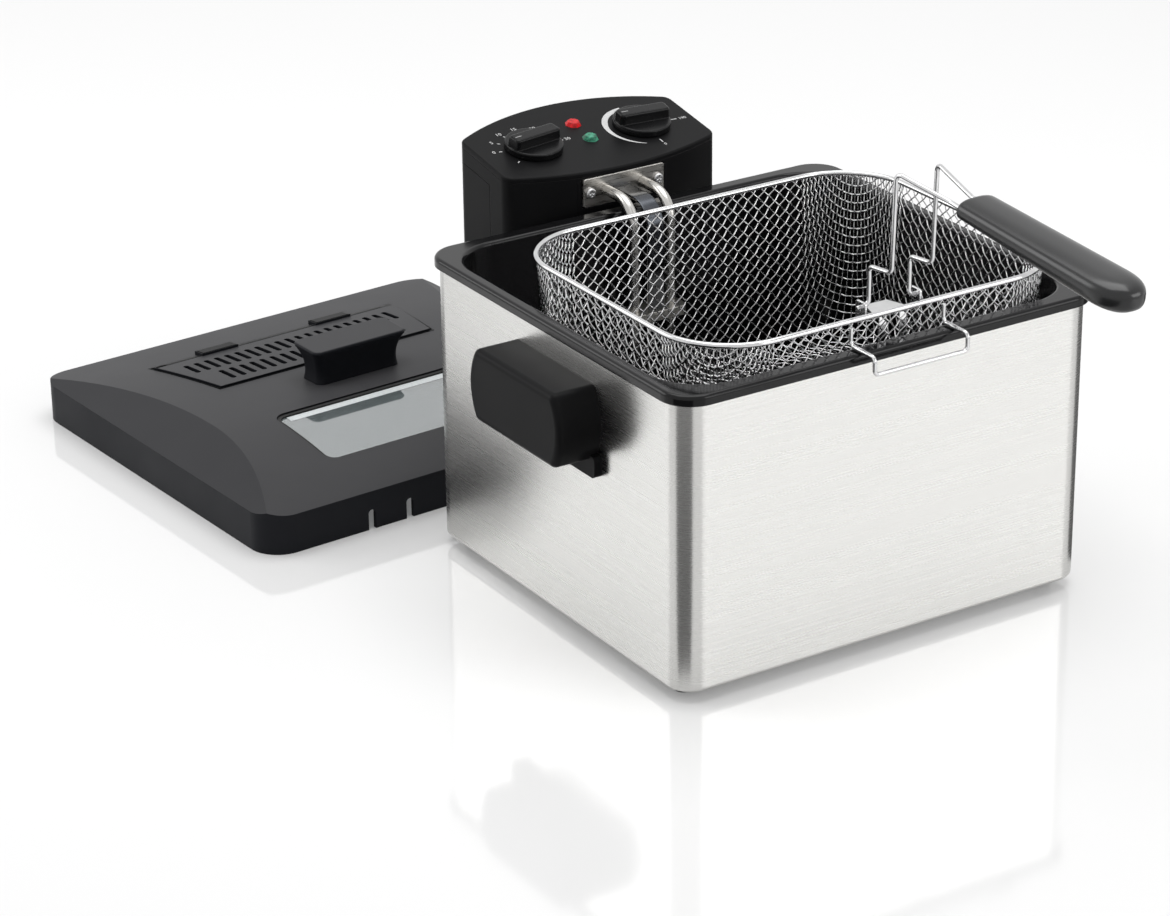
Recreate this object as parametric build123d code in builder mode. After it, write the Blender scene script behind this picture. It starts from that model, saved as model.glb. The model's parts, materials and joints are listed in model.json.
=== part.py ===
"""Countertop deep fryer: steel housing, lift-out oil pot, plug-in control head, wire basket and lid.

Units are millimetres. +X is to the right of someone facing the front, the front faces -Y, +Z is up.
The origin is the middle of the housing's footprint, on the surface that the feet rest on.
"""

import os
from math import cos, radians, sin, sqrt, tan

from build123d import *

os.makedirs("parts", exist_ok=True)

# Housing and feet
housing_width = 280
housing_depth = 264
housing_height = 172
housing_wall = 1.0
housing_corner = 16
housing_base_round = 3
hem_width = 24
foot_height = 6
foot_radius = 5.5
foot_inset_x = 14
foot_inset_y = 20
pan_thickness = 1.2
pan_slot = (44, 5)
pan_slot_pitch = (18, 60)
pan_slot_count = (9, 2)
foot_taper = 0.86
screw_radius = 1.6
screw_head_radius = 3.2
screw_head_height = 2.0
screw_head_round = 0.8
cross_length = 3.4
cross_width = 0.7
cross_depth = 0.8
fit_gap = 0.3
thread_gap = 0.05

# Oil pot
rim_overhang = 3
rim_height = 6
rim_round = 2.4
rim_side = 8.5
rim_front = 11
pot_wall = 1.5
pot_corner = 32
pot_floor = 30
pot_floor_round = 12

# Side handles
grip_length = 96
grip_height = 44
grip_reach = 28
grip_bow = 7
grip_wall = 5
grip_middle_y = -5
grip_drop = 38
grip_foot = 14
grip_foot_depth = 9
grip_screw_spacing = 68
grip_corner = 5
grip_edge_round = 4
grip_foot_round = 3
grip_foot_lap = 2

# Control head
head_width = 150
head_gap = 4.5
head_depth = 52
head_front_bow = 13.5
head_back_bow = 20
head_corner = 7
head_wall = 2.5
head_rise = 25
head_tilt = 9.8
head_hang = 88
waist_drop = 46
neck_inset = 8
waist_chamfer = 6
panel_thickness = 3
panel_round = 1.2
back_cover_start = 18
back_cover_drop = 12
seam_gap = 0.2
rail_width = 10
rail_reach = 9
rail_spacing = 70
guide_plate = 5
guide_height = 60
guide_margin = 9
guide_screw_spacing_z = 40
guide_corner = 4
rail_trim = 8
rail_round = 1.5
rail_block_wall = 4
slot_roof = 2
plate_pad = 3
plate_pad_depth = 6.5

# Knobs and lamps
dial_spacing = 77.4
dial_row = 27
knob_radius = 17.9
knob_skirt = 4
knob_bar_height = 7
knob_bar_width = 11
knob_lift = 0.6
shaft_radius = 3
shaft_gap = 0.05
shaft_depth = 20
timer_pointer = 188
thermostat_pointer = 176
dial_body = 38
dial_body_height = 24
lamp_radius = 4.6
lamp_rise = 2.2
lamp_rows = (44, 24)
lamp_crown = 0.6
lamp_facets = 8
lamp_crown_taper = 35
lamp_holder_wall = 1
lamp_holder_length = 11
knob_edge_round = 1
knob_bar_round = 3
knob_bar_edge = 1.5
knob_bar_taper = 6
knob_bar_sink = 0.5
dial_body_corner = 4

# Heating element
tube_radius = 3.25
tube_spacing = 26
tube_bend = 16
tube_rise = 10
tube_drop_y = 109
coil_rise = 12
coil_half_width = 95
coil_inner = 50
coil_back = 70
coil_front = -90
coil_middle = 20
plate_width = 57
plate_height = 18
plate_thickness = 2
plate_screw_spacing = 48
capillary_radius = 1
bulb_radius = 3
bulb_length = 48
bulb_setback = 24
capillary_bend = 7
capillary_offset = 5.5
capillary_setback = 5
plate_corner = 1.5
plate_proud = 0.1
clip_drop = 64
clip_height = 6
clip_margin = 14
clip_depth = 18
clip_corner = 4
guard_width = 11
guard_sheet = 1
guard_drop = 1
guard_setback = 4
guard_bend = 17

# Back of the control head and the works inside it
inlet_size = (34, 22)
inlet_rise = 17
inlet_depth = 15
inlet_wall = 2
inlet_corner = 3
pin_radius = 1.5
pin_spacing = 12
pin_length = 13
pin_tail = 4
reset_radius = 4
reset_rise = 18
reset_sink = 1
reset_stem = 7
reset_flange = 1.5
reset_flange_height = 4
cover_boss_x = 44
cover_boss_rise = 58
cover_boss_bore = 10
cover_seat = 16
cover_screw_length = 22
boss_radius = 4.5
terminal_size = (44, 16, 13)
terminal_setback = 13
terminal_bore = (2.4, 6)
terminal_pitch = 10
switch_size = (20, 7, 11)
switch_x = 38
switch_setback = 7
switch_tip = (3, 3, 1.5)
switch_tip_shift = 4

# Basket in its draining place, hooked over the front rim
basket_width = 250
basket_depth = 203
basket_middle_x = 7
basket_middle_y = -21
basket_corner = 44
basket_rim_rise = 15
basket_height = 104
basket_draft = 3
basket_floor_round = 16
mesh_thickness = 1.2
rim_wire_radius = 1.6
hook_wire_radius = 1.25
hook_width = 63
hook_reach = 11
hook_drop = 10
hook_bend = 3

# Basket handle
handle_wire_radius = 1.3
handle_wire_spacing = 27.4
handle_pivot_inset = 7
handle_pivot_rise = 3
handle_wire_bend = 4
handle_knee = 23
handle_step = 20
handle_lean = 2
handle_rise = 58
handle_lead = 48
bracket_sheet = 1.2
bracket_depth = 10
bracket_leg = 26
bracket_flare = 9
pivot_stub = 8
bracket_leg_width = 5
bracket_leg_inset = 1.5
ear_width = 9
ear_round = 1.5
ear_drop = 2
basket_grip_length = 134
basket_grip_width = 30
basket_grip_thickness = 17
basket_grip_tilt = 4.5
basket_grip_socket = 30
basket_grip_rise = 76
grip_wire_spacing = 14
grip_wire_lead = 9
grip_tip_trim = 2
grip_end_round = 5

# Lid, lying on the surface behind the housing
lid_width = 296
lid_depth = 280
lid_skirt = 25
lid_crest = 40
lid_crest_y = -25
lid_side_run = 32
lid_corner = 20
lid_wall = 2.6
lid_x = -101
lid_y = 309
lid_turn = 3.75
lid_handle_top = (72, 31)
lid_handle_waist = (60, 21)
lid_handle_foot = (63, 23)
lid_handle_height = 24
lid_handle_y = -3
lid_handle_screw_spacing = 40
lid_handle_waist_at = 0.45
lid_handle_sink = 3
lid_handle_corner = 5
lid_handle_round = 1.5
lid_screw_length = 12
lid_screw_drop = 0.6
window_size = (160, 66)
window_y = -69
window_corner = 9
window_recess = 2.2
glass_thickness = 3
gasket_width = 2.5
cover_back_width = 182
cover_front_width = 159
cover_length = 65
cover_back_y = 90
cover_thickness = 2.4
cover_rise = 1.2
cover_gap = 0.8
tab_width = 27
tab_length = 6
tab_spacing = 87
slot_width = 3.6
slot_length = 19
slot_pitch = 7.6
slot_rows = ((67, 21), (42, 18))
tray_margin = 7
tray_thickness = 2
tray_slot = (12, 5)
tray_slot_pitch = (14, 18)
tray_slot_count = (10, 3)
mat_margin = 1
tab_thickness = 1.6
tab_lap = 4
notch_width = 5
notch_height = 13
notch_spacing = 27.4
notch_pairs = (-61, 0, 61)

# Places that follow from the sizes above
housing_top = foot_height + housing_height
rim_top = housing_top + rim_height
rim_width = housing_width + 2 * rim_overhang
rim_depth = housing_depth + 2 * rim_overhang
pot_width = rim_width - 2 * rim_side
pot_depth = rim_depth - 2 * rim_front
half_width = housing_width / 2
half_depth = housing_depth / 2
pan_top = foot_height + housing_wall + pan_thickness
grip_middle_z = housing_top - grip_drop
head_front_top = rim_top + head_rise
head_bottom = rim_top - head_hang
head_waist = rim_top - waist_drop
tube_level = rim_top + tube_rise
coil_level = pot_floor + coil_rise
clip_level = rim_top - clip_drop
basket_rim_level = rim_top + basket_rim_rise
handle_pivot_level = basket_rim_level + handle_pivot_rise
basket_grip_level = handle_pivot_level + basket_grip_rise
head_front = rim_depth / 2 + head_gap
head_side_front = head_front + head_front_bow
head_side_back = head_side_front + head_depth
plate_face = head_front + plate_proud
plate_back = plate_face + plate_thickness
basket_front = basket_middle_y - basket_depth / 2
basket_floor = basket_rim_level - basket_height
head_cut = 300
guide_middle_z = head_bottom + guide_margin + guide_height / 2
slot_top = guide_middle_z + guide_height / 2 + fit_gap
head_bow_radius = ((head_width / 2) ** 2 + head_front_bow**2) / (2 * head_front_bow)


def bowed_outline(side_inset, front_inset, back_inset, corner):
    """Plan of the control head: straight sides, with its front and its back bowed outwards."""
    half = head_width / 2 - side_inset
    front_side = head_front + front_inset + head_bow_radius - sqrt(head_bow_radius**2 - half**2)
    back_side = head_side_back - back_inset
    with BuildSketch() as outline:
        with BuildLine():
            ThreePointArc((-half, front_side), (0, head_front + front_inset), (half, front_side))
            Line((half, front_side), (half, back_side))
            ThreePointArc((half, back_side), (0, back_side + head_back_bow), (-half, back_side))
            Line((-half, back_side), (-half, front_side))
        make_face()
        fillet(outline.vertices(), corner)
    return outline.sketch


def round_bar(points, bend, radius):
    """A round bar along straight runs whose corners are rounded by one bend radius."""
    with BuildPart() as bar:
        with BuildLine() as route:
            FilletPolyline(*points, radius=bend)
        with BuildSketch(Plane(route.line @ 0, z_dir=route.line % 0)):
            Circle(radius)
        sweep(path=route.line)
    return bar.part


def pan_screw(plane, length):
    """A pan-head screw: its head stands on the plane and its shank goes into it."""
    with BuildPart() as screw:
        with BuildSketch(plane):
            Circle(screw_head_radius)
        extrude(amount=screw_head_height)
        rims = screw.edges().filter_by(GeomType.CIRCLE).sort_by(Axis(plane.origin, plane.z_dir))
        fillet(rims[-1], screw_head_round)
        with BuildSketch(plane):
            Circle(screw_radius)
        extrude(amount=-length)
    return screw.part


# Housing shell: a steel tube with a rounded lower edge that turns in as a hem
with BuildPart() as housing_shell:
    with BuildSketch(Plane.XY.offset(foot_height)):
        RectangleRounded(housing_width, housing_depth, housing_corner)
    extrude(amount=housing_height)
    fillet(housing_shell.faces().sort_by(Axis.Z)[0].edges(), housing_base_round)
    offset(amount=-housing_wall, openings=housing_shell.faces().sort_by(Axis.Z)[-1])
    with BuildSketch(Plane.XY):
        Rectangle(housing_width - 2 * hem_width, housing_depth - 2 * hem_width)
    extrude(amount=2 * foot_height, mode=Mode.SUBTRACT)
    foot_spots = GridLocations(
        housing_width - 2 * foot_inset_x, housing_depth - 2 * foot_inset_y, 2, 2
    ).locations
    with Locations(*foot_spots):
        Cylinder(screw_radius + fit_gap, 4 * foot_height, mode=Mode.SUBTRACT)
    side_screw_plane = Plane((0, grip_middle_y, grip_middle_z), x_dir=(0, 1, 0), z_dir=(1, 0, 0))
    with BuildSketch(side_screw_plane):
        with GridLocations(grip_screw_spacing, 0, 2, 1):
            Circle(screw_radius + fit_gap)
    extrude(amount=housing_width, both=True, mode=Mode.SUBTRACT)
    guide_screw_plane = Plane((0, half_depth, guide_middle_z), x_dir=(1, 0, 0), z_dir=(0, 1, 0))
    with BuildSketch(guide_screw_plane):
        with GridLocations(0, guide_screw_spacing_z, 1, 2):
            Circle(screw_radius + fit_gap)
    extrude(amount=half_depth, both=True, mode=Mode.SUBTRACT)
housing_shell.part.label = "housing_shell"
export_step(housing_shell.part, "parts/housing_shell.step")

# Base pan: closes the bottom and rests on the hem, with a field of cooling slots
with BuildPart() as base_pan:
    with BuildSketch(Plane.XY.offset(foot_height + housing_wall)):
        pan_inset = housing_base_round + fit_gap
        RectangleRounded(
            housing_width - 2 * pan_inset, housing_depth - 2 * pan_inset, housing_corner - pan_inset
        )
        with Locations(*foot_spots):
            Circle(screw_radius + fit_gap, mode=Mode.SUBTRACT)
        with GridLocations(*pan_slot_pitch, *pan_slot_count):
            SlotOverall(*pan_slot, rotation=90, mode=Mode.SUBTRACT)
    extrude(amount=pan_thickness)
base_pan.part.label = "base_pan"
export_step(base_pan.part, "parts/base_pan.step")

# Feet: four short tapered rubber studs under the hem
with BuildPart() as feet:
    with Locations(*foot_spots):
        standing = (Align.CENTER, Align.CENTER, Align.MIN)
        Cone(foot_radius * foot_taper, foot_radius, foot_height, align=standing)
    with BuildSketch(Plane.XY.offset(foot_height)):
        with Locations(*foot_spots):
            Circle(screw_radius + thread_gap)
    extrude(amount=-foot_height / 2, mode=Mode.SUBTRACT)
feet.part.label = "feet"
export_step(feet.part, "parts/feet.step")

# Foot screws: through the pan and the hem into the feet
with BuildPart() as foot_screws:
    for spot in foot_spots:
        head_plane = Plane((spot.position.X, spot.position.Y, pan_top))
        add(pan_screw(head_plane, pan_top - foot_height / 2 - thread_gap))
foot_screws.part.label = "foot_screws"
export_step(foot_screws.part, "parts/foot_screws.step")


def side_handle(side):
    """A cup-shaped carrying handle: bowed ends and outer face, open below for the fingers."""
    wall_spot = (side * half_width, grip_middle_y, grip_middle_z)
    wall_plane = Plane(wall_spot, x_dir=(0, side, 0), z_dir=(side, 0, 0))
    with BuildPart() as handle:
        with BuildSketch(wall_plane) as face:
            with BuildLine():
                half = grip_length / 2 - grip_bow
                tall = grip_height / 2
                Line((-half, tall), (half, tall))
                ThreePointArc((half, tall), (half + grip_bow, 0), (half, -tall))
                Line((half, -tall), (-half, -tall))
                ThreePointArc((-half, -tall), (-half - grip_bow, 0), (-half, tall))
            make_face()
            fillet(face.vertices(), grip_corner)
        extrude(amount=grip_reach)
        outer = handle.faces().sort_by(Axis((0, 0, 0), (side, 0, 0)))[-1]
        fillet(outer.edges(), grip_edge_round)
        with BuildSketch(wall_plane):
            with Locations((0, -tall - grip_foot_depth / 2 + grip_foot_lap)):
                foot_length = grip_screw_spacing + 2 * grip_foot
                RectangleRounded(foot_length, grip_foot_depth + 2 * grip_foot_lap, grip_foot_round)
        extrude(amount=grip_wall)
        with BuildSketch(wall_plane.offset(grip_wall)):
            with Locations((0, -grip_wall)):
                Rectangle(grip_length - 2 * grip_foot - 2 * grip_bow, grip_height)
        extrude(amount=grip_reach - 2 * grip_wall, mode=Mode.SUBTRACT)
        with BuildSketch(wall_plane):
            with GridLocations(grip_screw_spacing, 0, 2, 1):
                Circle(screw_radius + thread_gap)
        extrude(amount=2 * grip_wall, mode=Mode.SUBTRACT)
    return handle


side_handle_left = side_handle(-1)
side_handle_left.part.label = "side_handle_left"
export_step(side_handle_left.part, "parts/side_handle_left.step")

side_handle_right = side_handle(1)
side_handle_right.part.label = "side_handle_right"
export_step(side_handle_right.part, "parts/side_handle_right.step")

# Side handle screws: from inside the housing wall outwards
with BuildPart() as side_handle_screws:
    for side in (-1, 1):
        for along in (-grip_screw_spacing / 2, grip_screw_spacing / 2):
            head_spot = (side * (half_width - housing_wall), grip_middle_y + along, grip_middle_z)
            add(pan_screw(Plane(head_spot, z_dir=(-side, 0, 0)), housing_wall + 2 * grip_wall - 1))
side_handle_screws.part.label = "side_handle_screws"
export_step(side_handle_screws.part, "parts/side_handle_screws.step")

# Rear guide: two upright rails on the back wall that locate the control head
with BuildPart() as rear_guide:
    with BuildSketch(guide_screw_plane):
        RectangleRounded(rail_spacing + 3 * rail_width, guide_height, guide_corner)
        with GridLocations(0, guide_screw_spacing_z, 1, 2):
            Circle(screw_radius + thread_gap, mode=Mode.SUBTRACT)
    extrude(amount=guide_plate)
    with BuildSketch(guide_screw_plane.offset(guide_plate)):
        with GridLocations(rail_spacing, 0, 2, 1):
            Rectangle(rail_width, guide_height - rail_trim)
    extrude(amount=head_front + rail_reach - half_depth - guide_plate)
    fillet(rear_guide.edges().filter_by(Axis.Z).sort_by(Axis.Y)[-4:], rail_round)
rear_guide.part.label = "rear_guide"
export_step(rear_guide.part, "parts/rear_guide.step")

# Rear guide screws: from inside the housing's back wall
with BuildPart() as rear_guide_screws:
    for up in (-guide_screw_spacing_z / 2, guide_screw_spacing_z / 2):
        head_spot = (0, half_depth - housing_wall, guide_middle_z + up)
        add(pan_screw(Plane(head_spot, z_dir=(0, -1, 0)), housing_wall + guide_plate - 1))
rear_guide_screws.part.label = "rear_guide_screws"
export_step(rear_guide_screws.part, "parts/rear_guide_screws.step")


def pot_basin():
    """The space inside the oil pot: straight walls down to a rounded floor."""
    with BuildPart() as basin:
        with BuildSketch(Plane.XY.offset(pot_floor)):
            RectangleRounded(pot_width, pot_depth, pot_corner)
        extrude(amount=rim_top - pot_floor)
        fillet(basin.faces().sort_by(Axis.Z)[0].edges(), pot_floor_round)
    return basin.part


# Oil pot: a deep pan whose thick rim hangs on the housing's top edge
with BuildPart() as oil_pot:
    with BuildSketch(Plane.XY.offset(housing_top)):
        RectangleRounded(rim_width, rim_depth, housing_corner + rim_overhang)
    extrude(amount=rim_height)
    fillet(oil_pot.faces().sort_by(Axis.Z)[-1].edges(), rim_round)
    with BuildSketch(Plane.XY.offset(pot_floor - pot_wall)):
        RectangleRounded(pot_width + 2 * pot_wall, pot_depth + 2 * pot_wall, pot_corner + pot_wall)
    extrude(amount=housing_top - pot_floor + pot_wall)
    fillet(oil_pot.faces().sort_by(Axis.Z)[0].edges(), pot_floor_round + pot_wall)
    add(pot_basin(), mode=Mode.SUBTRACT)
    fillet(oil_pot.faces().sort_by(Axis.Z)[-1].inner_wires()[0].edges(), rim_round)
oil_pot.part.label = "oil_pot"
export_step(oil_pot.part, "parts/oil_pot.step")

# Planes of the control head: its tilted top, and that top's underside
head_top = Plane(
    (0, head_side_front, head_front_top),
    x_dir=(1, 0, 0),
    z_dir=(0, -sin(radians(head_tilt)), cos(radians(head_tilt))),
)
panel_seat = head_top.offset(-panel_thickness)
dial_spots = {"timer": (-dial_spacing / 2, dial_row), "thermostat": (dial_spacing / 2, dial_row)}
lamp_spots = [(0, row) for row in lamp_rows]
slot_half = rail_width / 2 + 2 * fit_gap
cover_split = head_side_front + back_cover_start
cover_edge_z = head_front_top + back_cover_start * tan(radians(head_tilt)) - back_cover_drop


def head_walls():
    """The head's hollow body below its top panel, before its back cover is parted from it."""
    with BuildPart() as walls:
        with BuildSketch(Plane.XY.offset(head_waist)):
            add(bowed_outline(0, 0, 0, head_corner))
        extrude(amount=head_front_top - head_waist + head_depth)
        chamfer(walls.faces().sort_by(Axis.Z)[0].edges(), waist_chamfer)
        with BuildSketch(Plane.XY.offset(head_bottom)):
            add(bowed_outline(neck_inset, 0, neck_inset, head_corner))
        extrude(amount=head_waist + neck_inset - head_bottom)
        with BuildSketch(Plane.XY.offset(head_waist + neck_inset)):
            add(bowed_outline(head_wall, head_wall, head_wall, head_corner - head_wall))
        extrude(amount=head_cut, mode=Mode.SUBTRACT)
        inner = neck_inset + head_wall
        with BuildSketch(Plane.XY.offset(head_bottom + head_wall)):
            add(bowed_outline(inner, head_wall, inner, head_corner - head_wall))
        extrude(amount=head_cut, mode=Mode.SUBTRACT)
        with BuildSketch(Plane.XY.offset(head_bottom)):
            with Locations((0, head_front + rail_reach / 2 + rail_block_wall)):
                with GridLocations(rail_spacing, 0, 2, 1):
                    Rectangle(rail_width + 2 * rail_block_wall, rail_reach + head_wall)
        extrude(amount=slot_top + slot_roof - head_bottom)
        with BuildSketch(Plane.XY.offset(tube_level - plate_height / 2 - plate_pad)):
            pad_back = head_front + plate_pad_depth
            with Locations((0, (plate_back + pad_back) / 2)):
                Rectangle(plate_width + 2 * plate_pad, pad_back - plate_back)
        extrude(amount=plate_height + 1)
        with BuildSketch(Plane.XY.offset(head_bottom)):
            with Locations((0, head_front + rail_reach / 2)):
                with GridLocations(rail_spacing, 0, 2, 1):
                    Rectangle(2 * slot_half, rail_reach + 2 * fit_gap + rail_trim)
        extrude(amount=slot_top - head_bottom, mode=Mode.SUBTRACT)
        plate_plane = Plane((0, plate_back, tube_level), x_dir=(1, 0, 0), z_dir=(0, -1, 0))
        with BuildSketch(plate_plane):
            Rectangle(plate_width + 2 * fit_gap, plate_height + 2 * fit_gap)
        extrude(amount=3 * plate_thickness, mode=Mode.SUBTRACT)
        with BuildSketch(plate_plane):
            with GridLocations(tube_spacing, 0, 2, 1):
                Circle(tube_radius + fit_gap)
            with GridLocations(plate_screw_spacing, 0, 2, 1):
                Circle(screw_radius + thread_gap)
            with Locations((0, -capillary_offset)):
                Circle(capillary_radius + fit_gap)
        extrude(amount=-3 * head_wall, mode=Mode.SUBTRACT)
        with BuildSketch(panel_seat):
            Rectangle(head_cut, head_cut)
        extrude(amount=head_cut / 2, mode=Mode.SUBTRACT)
    return walls.part


def cover_region(gap):
    """Everything behind the back cover's seam, which runs level with the top and then straight down."""
    rise = tan(radians(head_tilt))
    front = cover_split + gap
    edge = cover_edge_z - gap
    with BuildPart() as region:
        with BuildSketch(Plane.YZ):
            with BuildLine():
                Polyline(
                    (front, 0),
                    (front, edge),
                    (front + head_cut, edge + head_cut * rise),
                    (front + head_cut, 0),
                    close=True,
                )
            make_face()
        extrude(amount=head_width, both=True)
    return region.part


# Places of the inlet, the reset button and the cover's screws
back_face = head_side_back + head_back_bow - neck_inset
inlet_z = head_bottom + inlet_rise
inlet_plane = Plane((0, back_face, inlet_z), x_dir=(-1, 0, 0), z_dir=(0, 1, 0))
reset_plane = Plane((0, back_face, inlet_z + reset_rise), x_dir=(-1, 0, 0), z_dir=(0, 1, 0))
boss_z = head_bottom + cover_boss_rise
boss_spots = [(-cover_boss_x, boss_z), (cover_boss_x, boss_z)]
cover_screw_seat = cover_split + cover_seat

# Head shell: front, sides and floor of the control head
with BuildPart() as head_shell:
    add(head_walls())
    add(cover_region(0), mode=Mode.SUBTRACT)
    with BuildSketch(Plane.XZ.offset(-(cover_split - 1))):
        with Locations(*boss_spots):
            Circle(boss_radius)
    extrude(until=Until.NEXT, dir=(0, -1, 0))
    with BuildSketch(Plane.XZ.offset(-(cover_split - 1))):
        with Locations(*boss_spots):
            Circle(screw_radius + thread_gap)
    extrude(amount=cover_boss_bore, mode=Mode.SUBTRACT)
head_shell.part.label = "head_shell"
export_step(head_shell.part, "parts/head_shell.step")

# Head back cover: the rear half, with the inlet's recess and the reset button's hole
with BuildPart() as head_back_cover:
    add(head_walls())
    add(cover_region(seam_gap), mode=Mode.INTERSECT)
    with BuildSketch(inlet_plane):
        RectangleRounded(inlet_size[0] + 2 * fit_gap, inlet_size[1] + 2 * fit_gap, inlet_corner)
    with BuildSketch(reset_plane):
        Circle(reset_radius + fit_gap)
    extrude(amount=4 * head_wall, both=True, mode=Mode.SUBTRACT)
    with BuildSketch(Plane.XZ.offset(-(cover_split + seam_gap))):
        with Locations(*boss_spots):
            Circle(boss_radius)
    extrude(until=Until.LAST, dir=(0, 1, 0))
    with BuildSketch(Plane.XZ.offset(-cover_split)):
        with Locations(*boss_spots):
            Circle(screw_radius + fit_gap)
    extrude(amount=-head_cut, mode=Mode.SUBTRACT)
    with BuildSketch(Plane.XZ.offset(-cover_screw_seat)):
        with Locations(*boss_spots):
            Circle(screw_head_radius + fit_gap)
    extrude(amount=-head_cut, mode=Mode.SUBTRACT)
head_back_cover.part.label = "head_back_cover"
export_step(head_back_cover.part, "parts/head_back_cover.step")

# Head top panel: the tilted control face, with holes for two shafts and two lamps
with BuildPart() as head_top_panel:
    with BuildSketch(Plane.XY.offset(head_waist)):
        add(bowed_outline(0, 0, 0, head_corner))
    extrude(amount=head_cut)
    with BuildSketch(panel_seat):
        Rectangle(head_cut, head_cut)
    extrude(amount=panel_thickness, mode=Mode.INTERSECT)
    fillet(head_top_panel.faces().sort_by(Axis((0, 0, 0), head_top.z_dir))[-1].edges(), panel_round)
    with BuildSketch(head_top):
        with Locations(*dial_spots.values()):
            Circle(shaft_radius + fit_gap)
        with Locations(*lamp_spots):
            Circle(lamp_radius + fit_gap)
    extrude(amount=-2 * panel_thickness, mode=Mode.SUBTRACT)
head_top_panel.part.label = "head_top_panel"
export_step(head_top_panel.part, "parts/head_top_panel.step")

# Element plate: the steel face plate that carries the heating tubes
with BuildPart() as element_plate:
    plate_plane = Plane((0, plate_back, tube_level), x_dir=(1, 0, 0), z_dir=(0, -1, 0))
    with BuildSketch(plate_plane):
        RectangleRounded(plate_width, plate_height, plate_corner)
        with GridLocations(tube_spacing, 0, 2, 1):
            Circle(tube_radius + thread_gap, mode=Mode.SUBTRACT)
        with GridLocations(plate_screw_spacing, 0, 2, 1):
            Circle(screw_radius + fit_gap, mode=Mode.SUBTRACT)
        with Locations((0, -capillary_offset)):
            Circle(capillary_radius + fit_gap, mode=Mode.SUBTRACT)
    extrude(amount=plate_thickness)
element_plate.part.label = "element_plate"
export_step(element_plate.part, "parts/element_plate.step")

# Plate screws: two cross-head screws in the face plate
with BuildPart() as plate_screws:
    for across in (-plate_screw_spacing / 2, plate_screw_spacing / 2):
        head_plane = Plane((across, plate_face, tube_level), z_dir=(0, -1, 0))
        add(pan_screw(head_plane, 3 * head_wall))
        with BuildSketch(head_plane.offset(screw_head_height)):
            Rectangle(cross_length, cross_width)
            Rectangle(cross_width, cross_length)
        extrude(amount=-cross_depth, mode=Mode.SUBTRACT)
plate_screws.part.label = "plate_screws"
export_step(plate_screws.part, "parts/plate_screws.step")

# Heating element: one bent tube that drops over the pot's rim and loops along its floor
tube_x = tube_spacing / 2
half_coil = [
    (tube_x, head_side_front + head_depth / 4, tube_level),
    (tube_x, tube_drop_y, tube_level),
    (tube_x, tube_drop_y, coil_level),
    (tube_x, coil_back, coil_level),
    (coil_half_width, coil_back, coil_level),
    (coil_half_width, coil_front, coil_level),
    (coil_inner, coil_front, coil_level),
    (coil_inner, coil_middle, coil_level),
]
other_half = [(-x, y, z) for x, y, z in reversed(half_coil)]
with BuildPart() as heating_element:
    add(round_bar(half_coil + other_half, tube_bend, tube_radius))
heating_element.part.label = "heating_element"
export_step(heating_element.part, "parts/heating_element.step")

# Thermostat probe: a capillary that ends in a bulb between the heating tubes
capillary_level = tube_level - capillary_offset
capillary_drop_y = tube_drop_y + capillary_setback
bulb_start = capillary_drop_y - bulb_setback
with BuildPart() as thermostat_probe:
    capillary = [
        (0, head_side_front + head_depth / 4, capillary_level),
        (0, capillary_drop_y, capillary_level),
        (0, capillary_drop_y, coil_level),
        (0, bulb_start, coil_level),
    ]
    add(round_bar(capillary, capillary_bend, capillary_radius))
    with BuildSketch(Plane((0, bulb_start, coil_level), z_dir=(0, -1, 0))):
        Circle(bulb_radius)
    extrude(amount=bulb_length)
thermostat_probe.part.label = "thermostat_probe"
export_step(thermostat_probe.part, "parts/thermostat_probe.step")

# Element clip: a cross plate that keeps the tubes and the capillary together
with BuildPart() as element_clip:
    with BuildSketch(Plane.XY.offset(clip_level)):
        with Locations((0, tube_drop_y)):
            RectangleRounded(tube_spacing + clip_margin, clip_depth, clip_corner)
            with GridLocations(tube_spacing, 0, 2, 1):
                Circle(tube_radius + thread_gap, mode=Mode.SUBTRACT)
        with Locations((0, capillary_drop_y)):
            Circle(capillary_radius + thread_gap, mode=Mode.SUBTRACT)
    extrude(amount=clip_height)
element_clip.part.label = "element_clip"
export_step(element_clip.part, "parts/element_clip.step")

# Probe guard: a bent steel strip from the face plate down to the clip
guard_level = tube_level - guard_drop
guard_drop_y = tube_drop_y - guard_setback
with BuildPart() as probe_guard:
    with BuildLine() as guard_route:
        FilletPolyline(
            (0, plate_face, guard_level),
            (0, guard_drop_y, guard_level),
            (0, guard_drop_y, clip_level + clip_height),
            radius=guard_bend,
        )
    with BuildSketch(Plane((0, plate_face, guard_level), x_dir=(1, 0, 0), z_dir=(0, -1, 0))):
        Rectangle(guard_width, guard_sheet)
    sweep(path=guard_route.line)
probe_guard.part.label = "probe_guard"
export_step(probe_guard.part, "parts/probe_guard.step")


def dial_works(spot, height):
    """The body behind a knob: a rounded box under the panel with a bore for the shaft."""
    with BuildPart() as works:
        with BuildSketch(panel_seat):
            with Locations(spot):
                RectangleRounded(dial_body, dial_body, dial_body_corner)
        extrude(amount=-height)
        with BuildSketch(panel_seat):
            with Locations(spot):
                Circle(shaft_radius + shaft_gap)
        extrude(amount=-shaft_depth - head_wall, mode=Mode.SUBTRACT)
    return works


def dial_shaft(spot):
    """A round shaft from inside its works up into its knob."""
    with BuildPart() as shaft:
        with BuildSketch(panel_seat.offset(-shaft_depth)):
            with Locations(spot):
                Circle(shaft_radius)
        extrude(amount=shaft_depth + panel_thickness + knob_lift + knob_skirt + knob_bar_height / 2)
    return shaft


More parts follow.
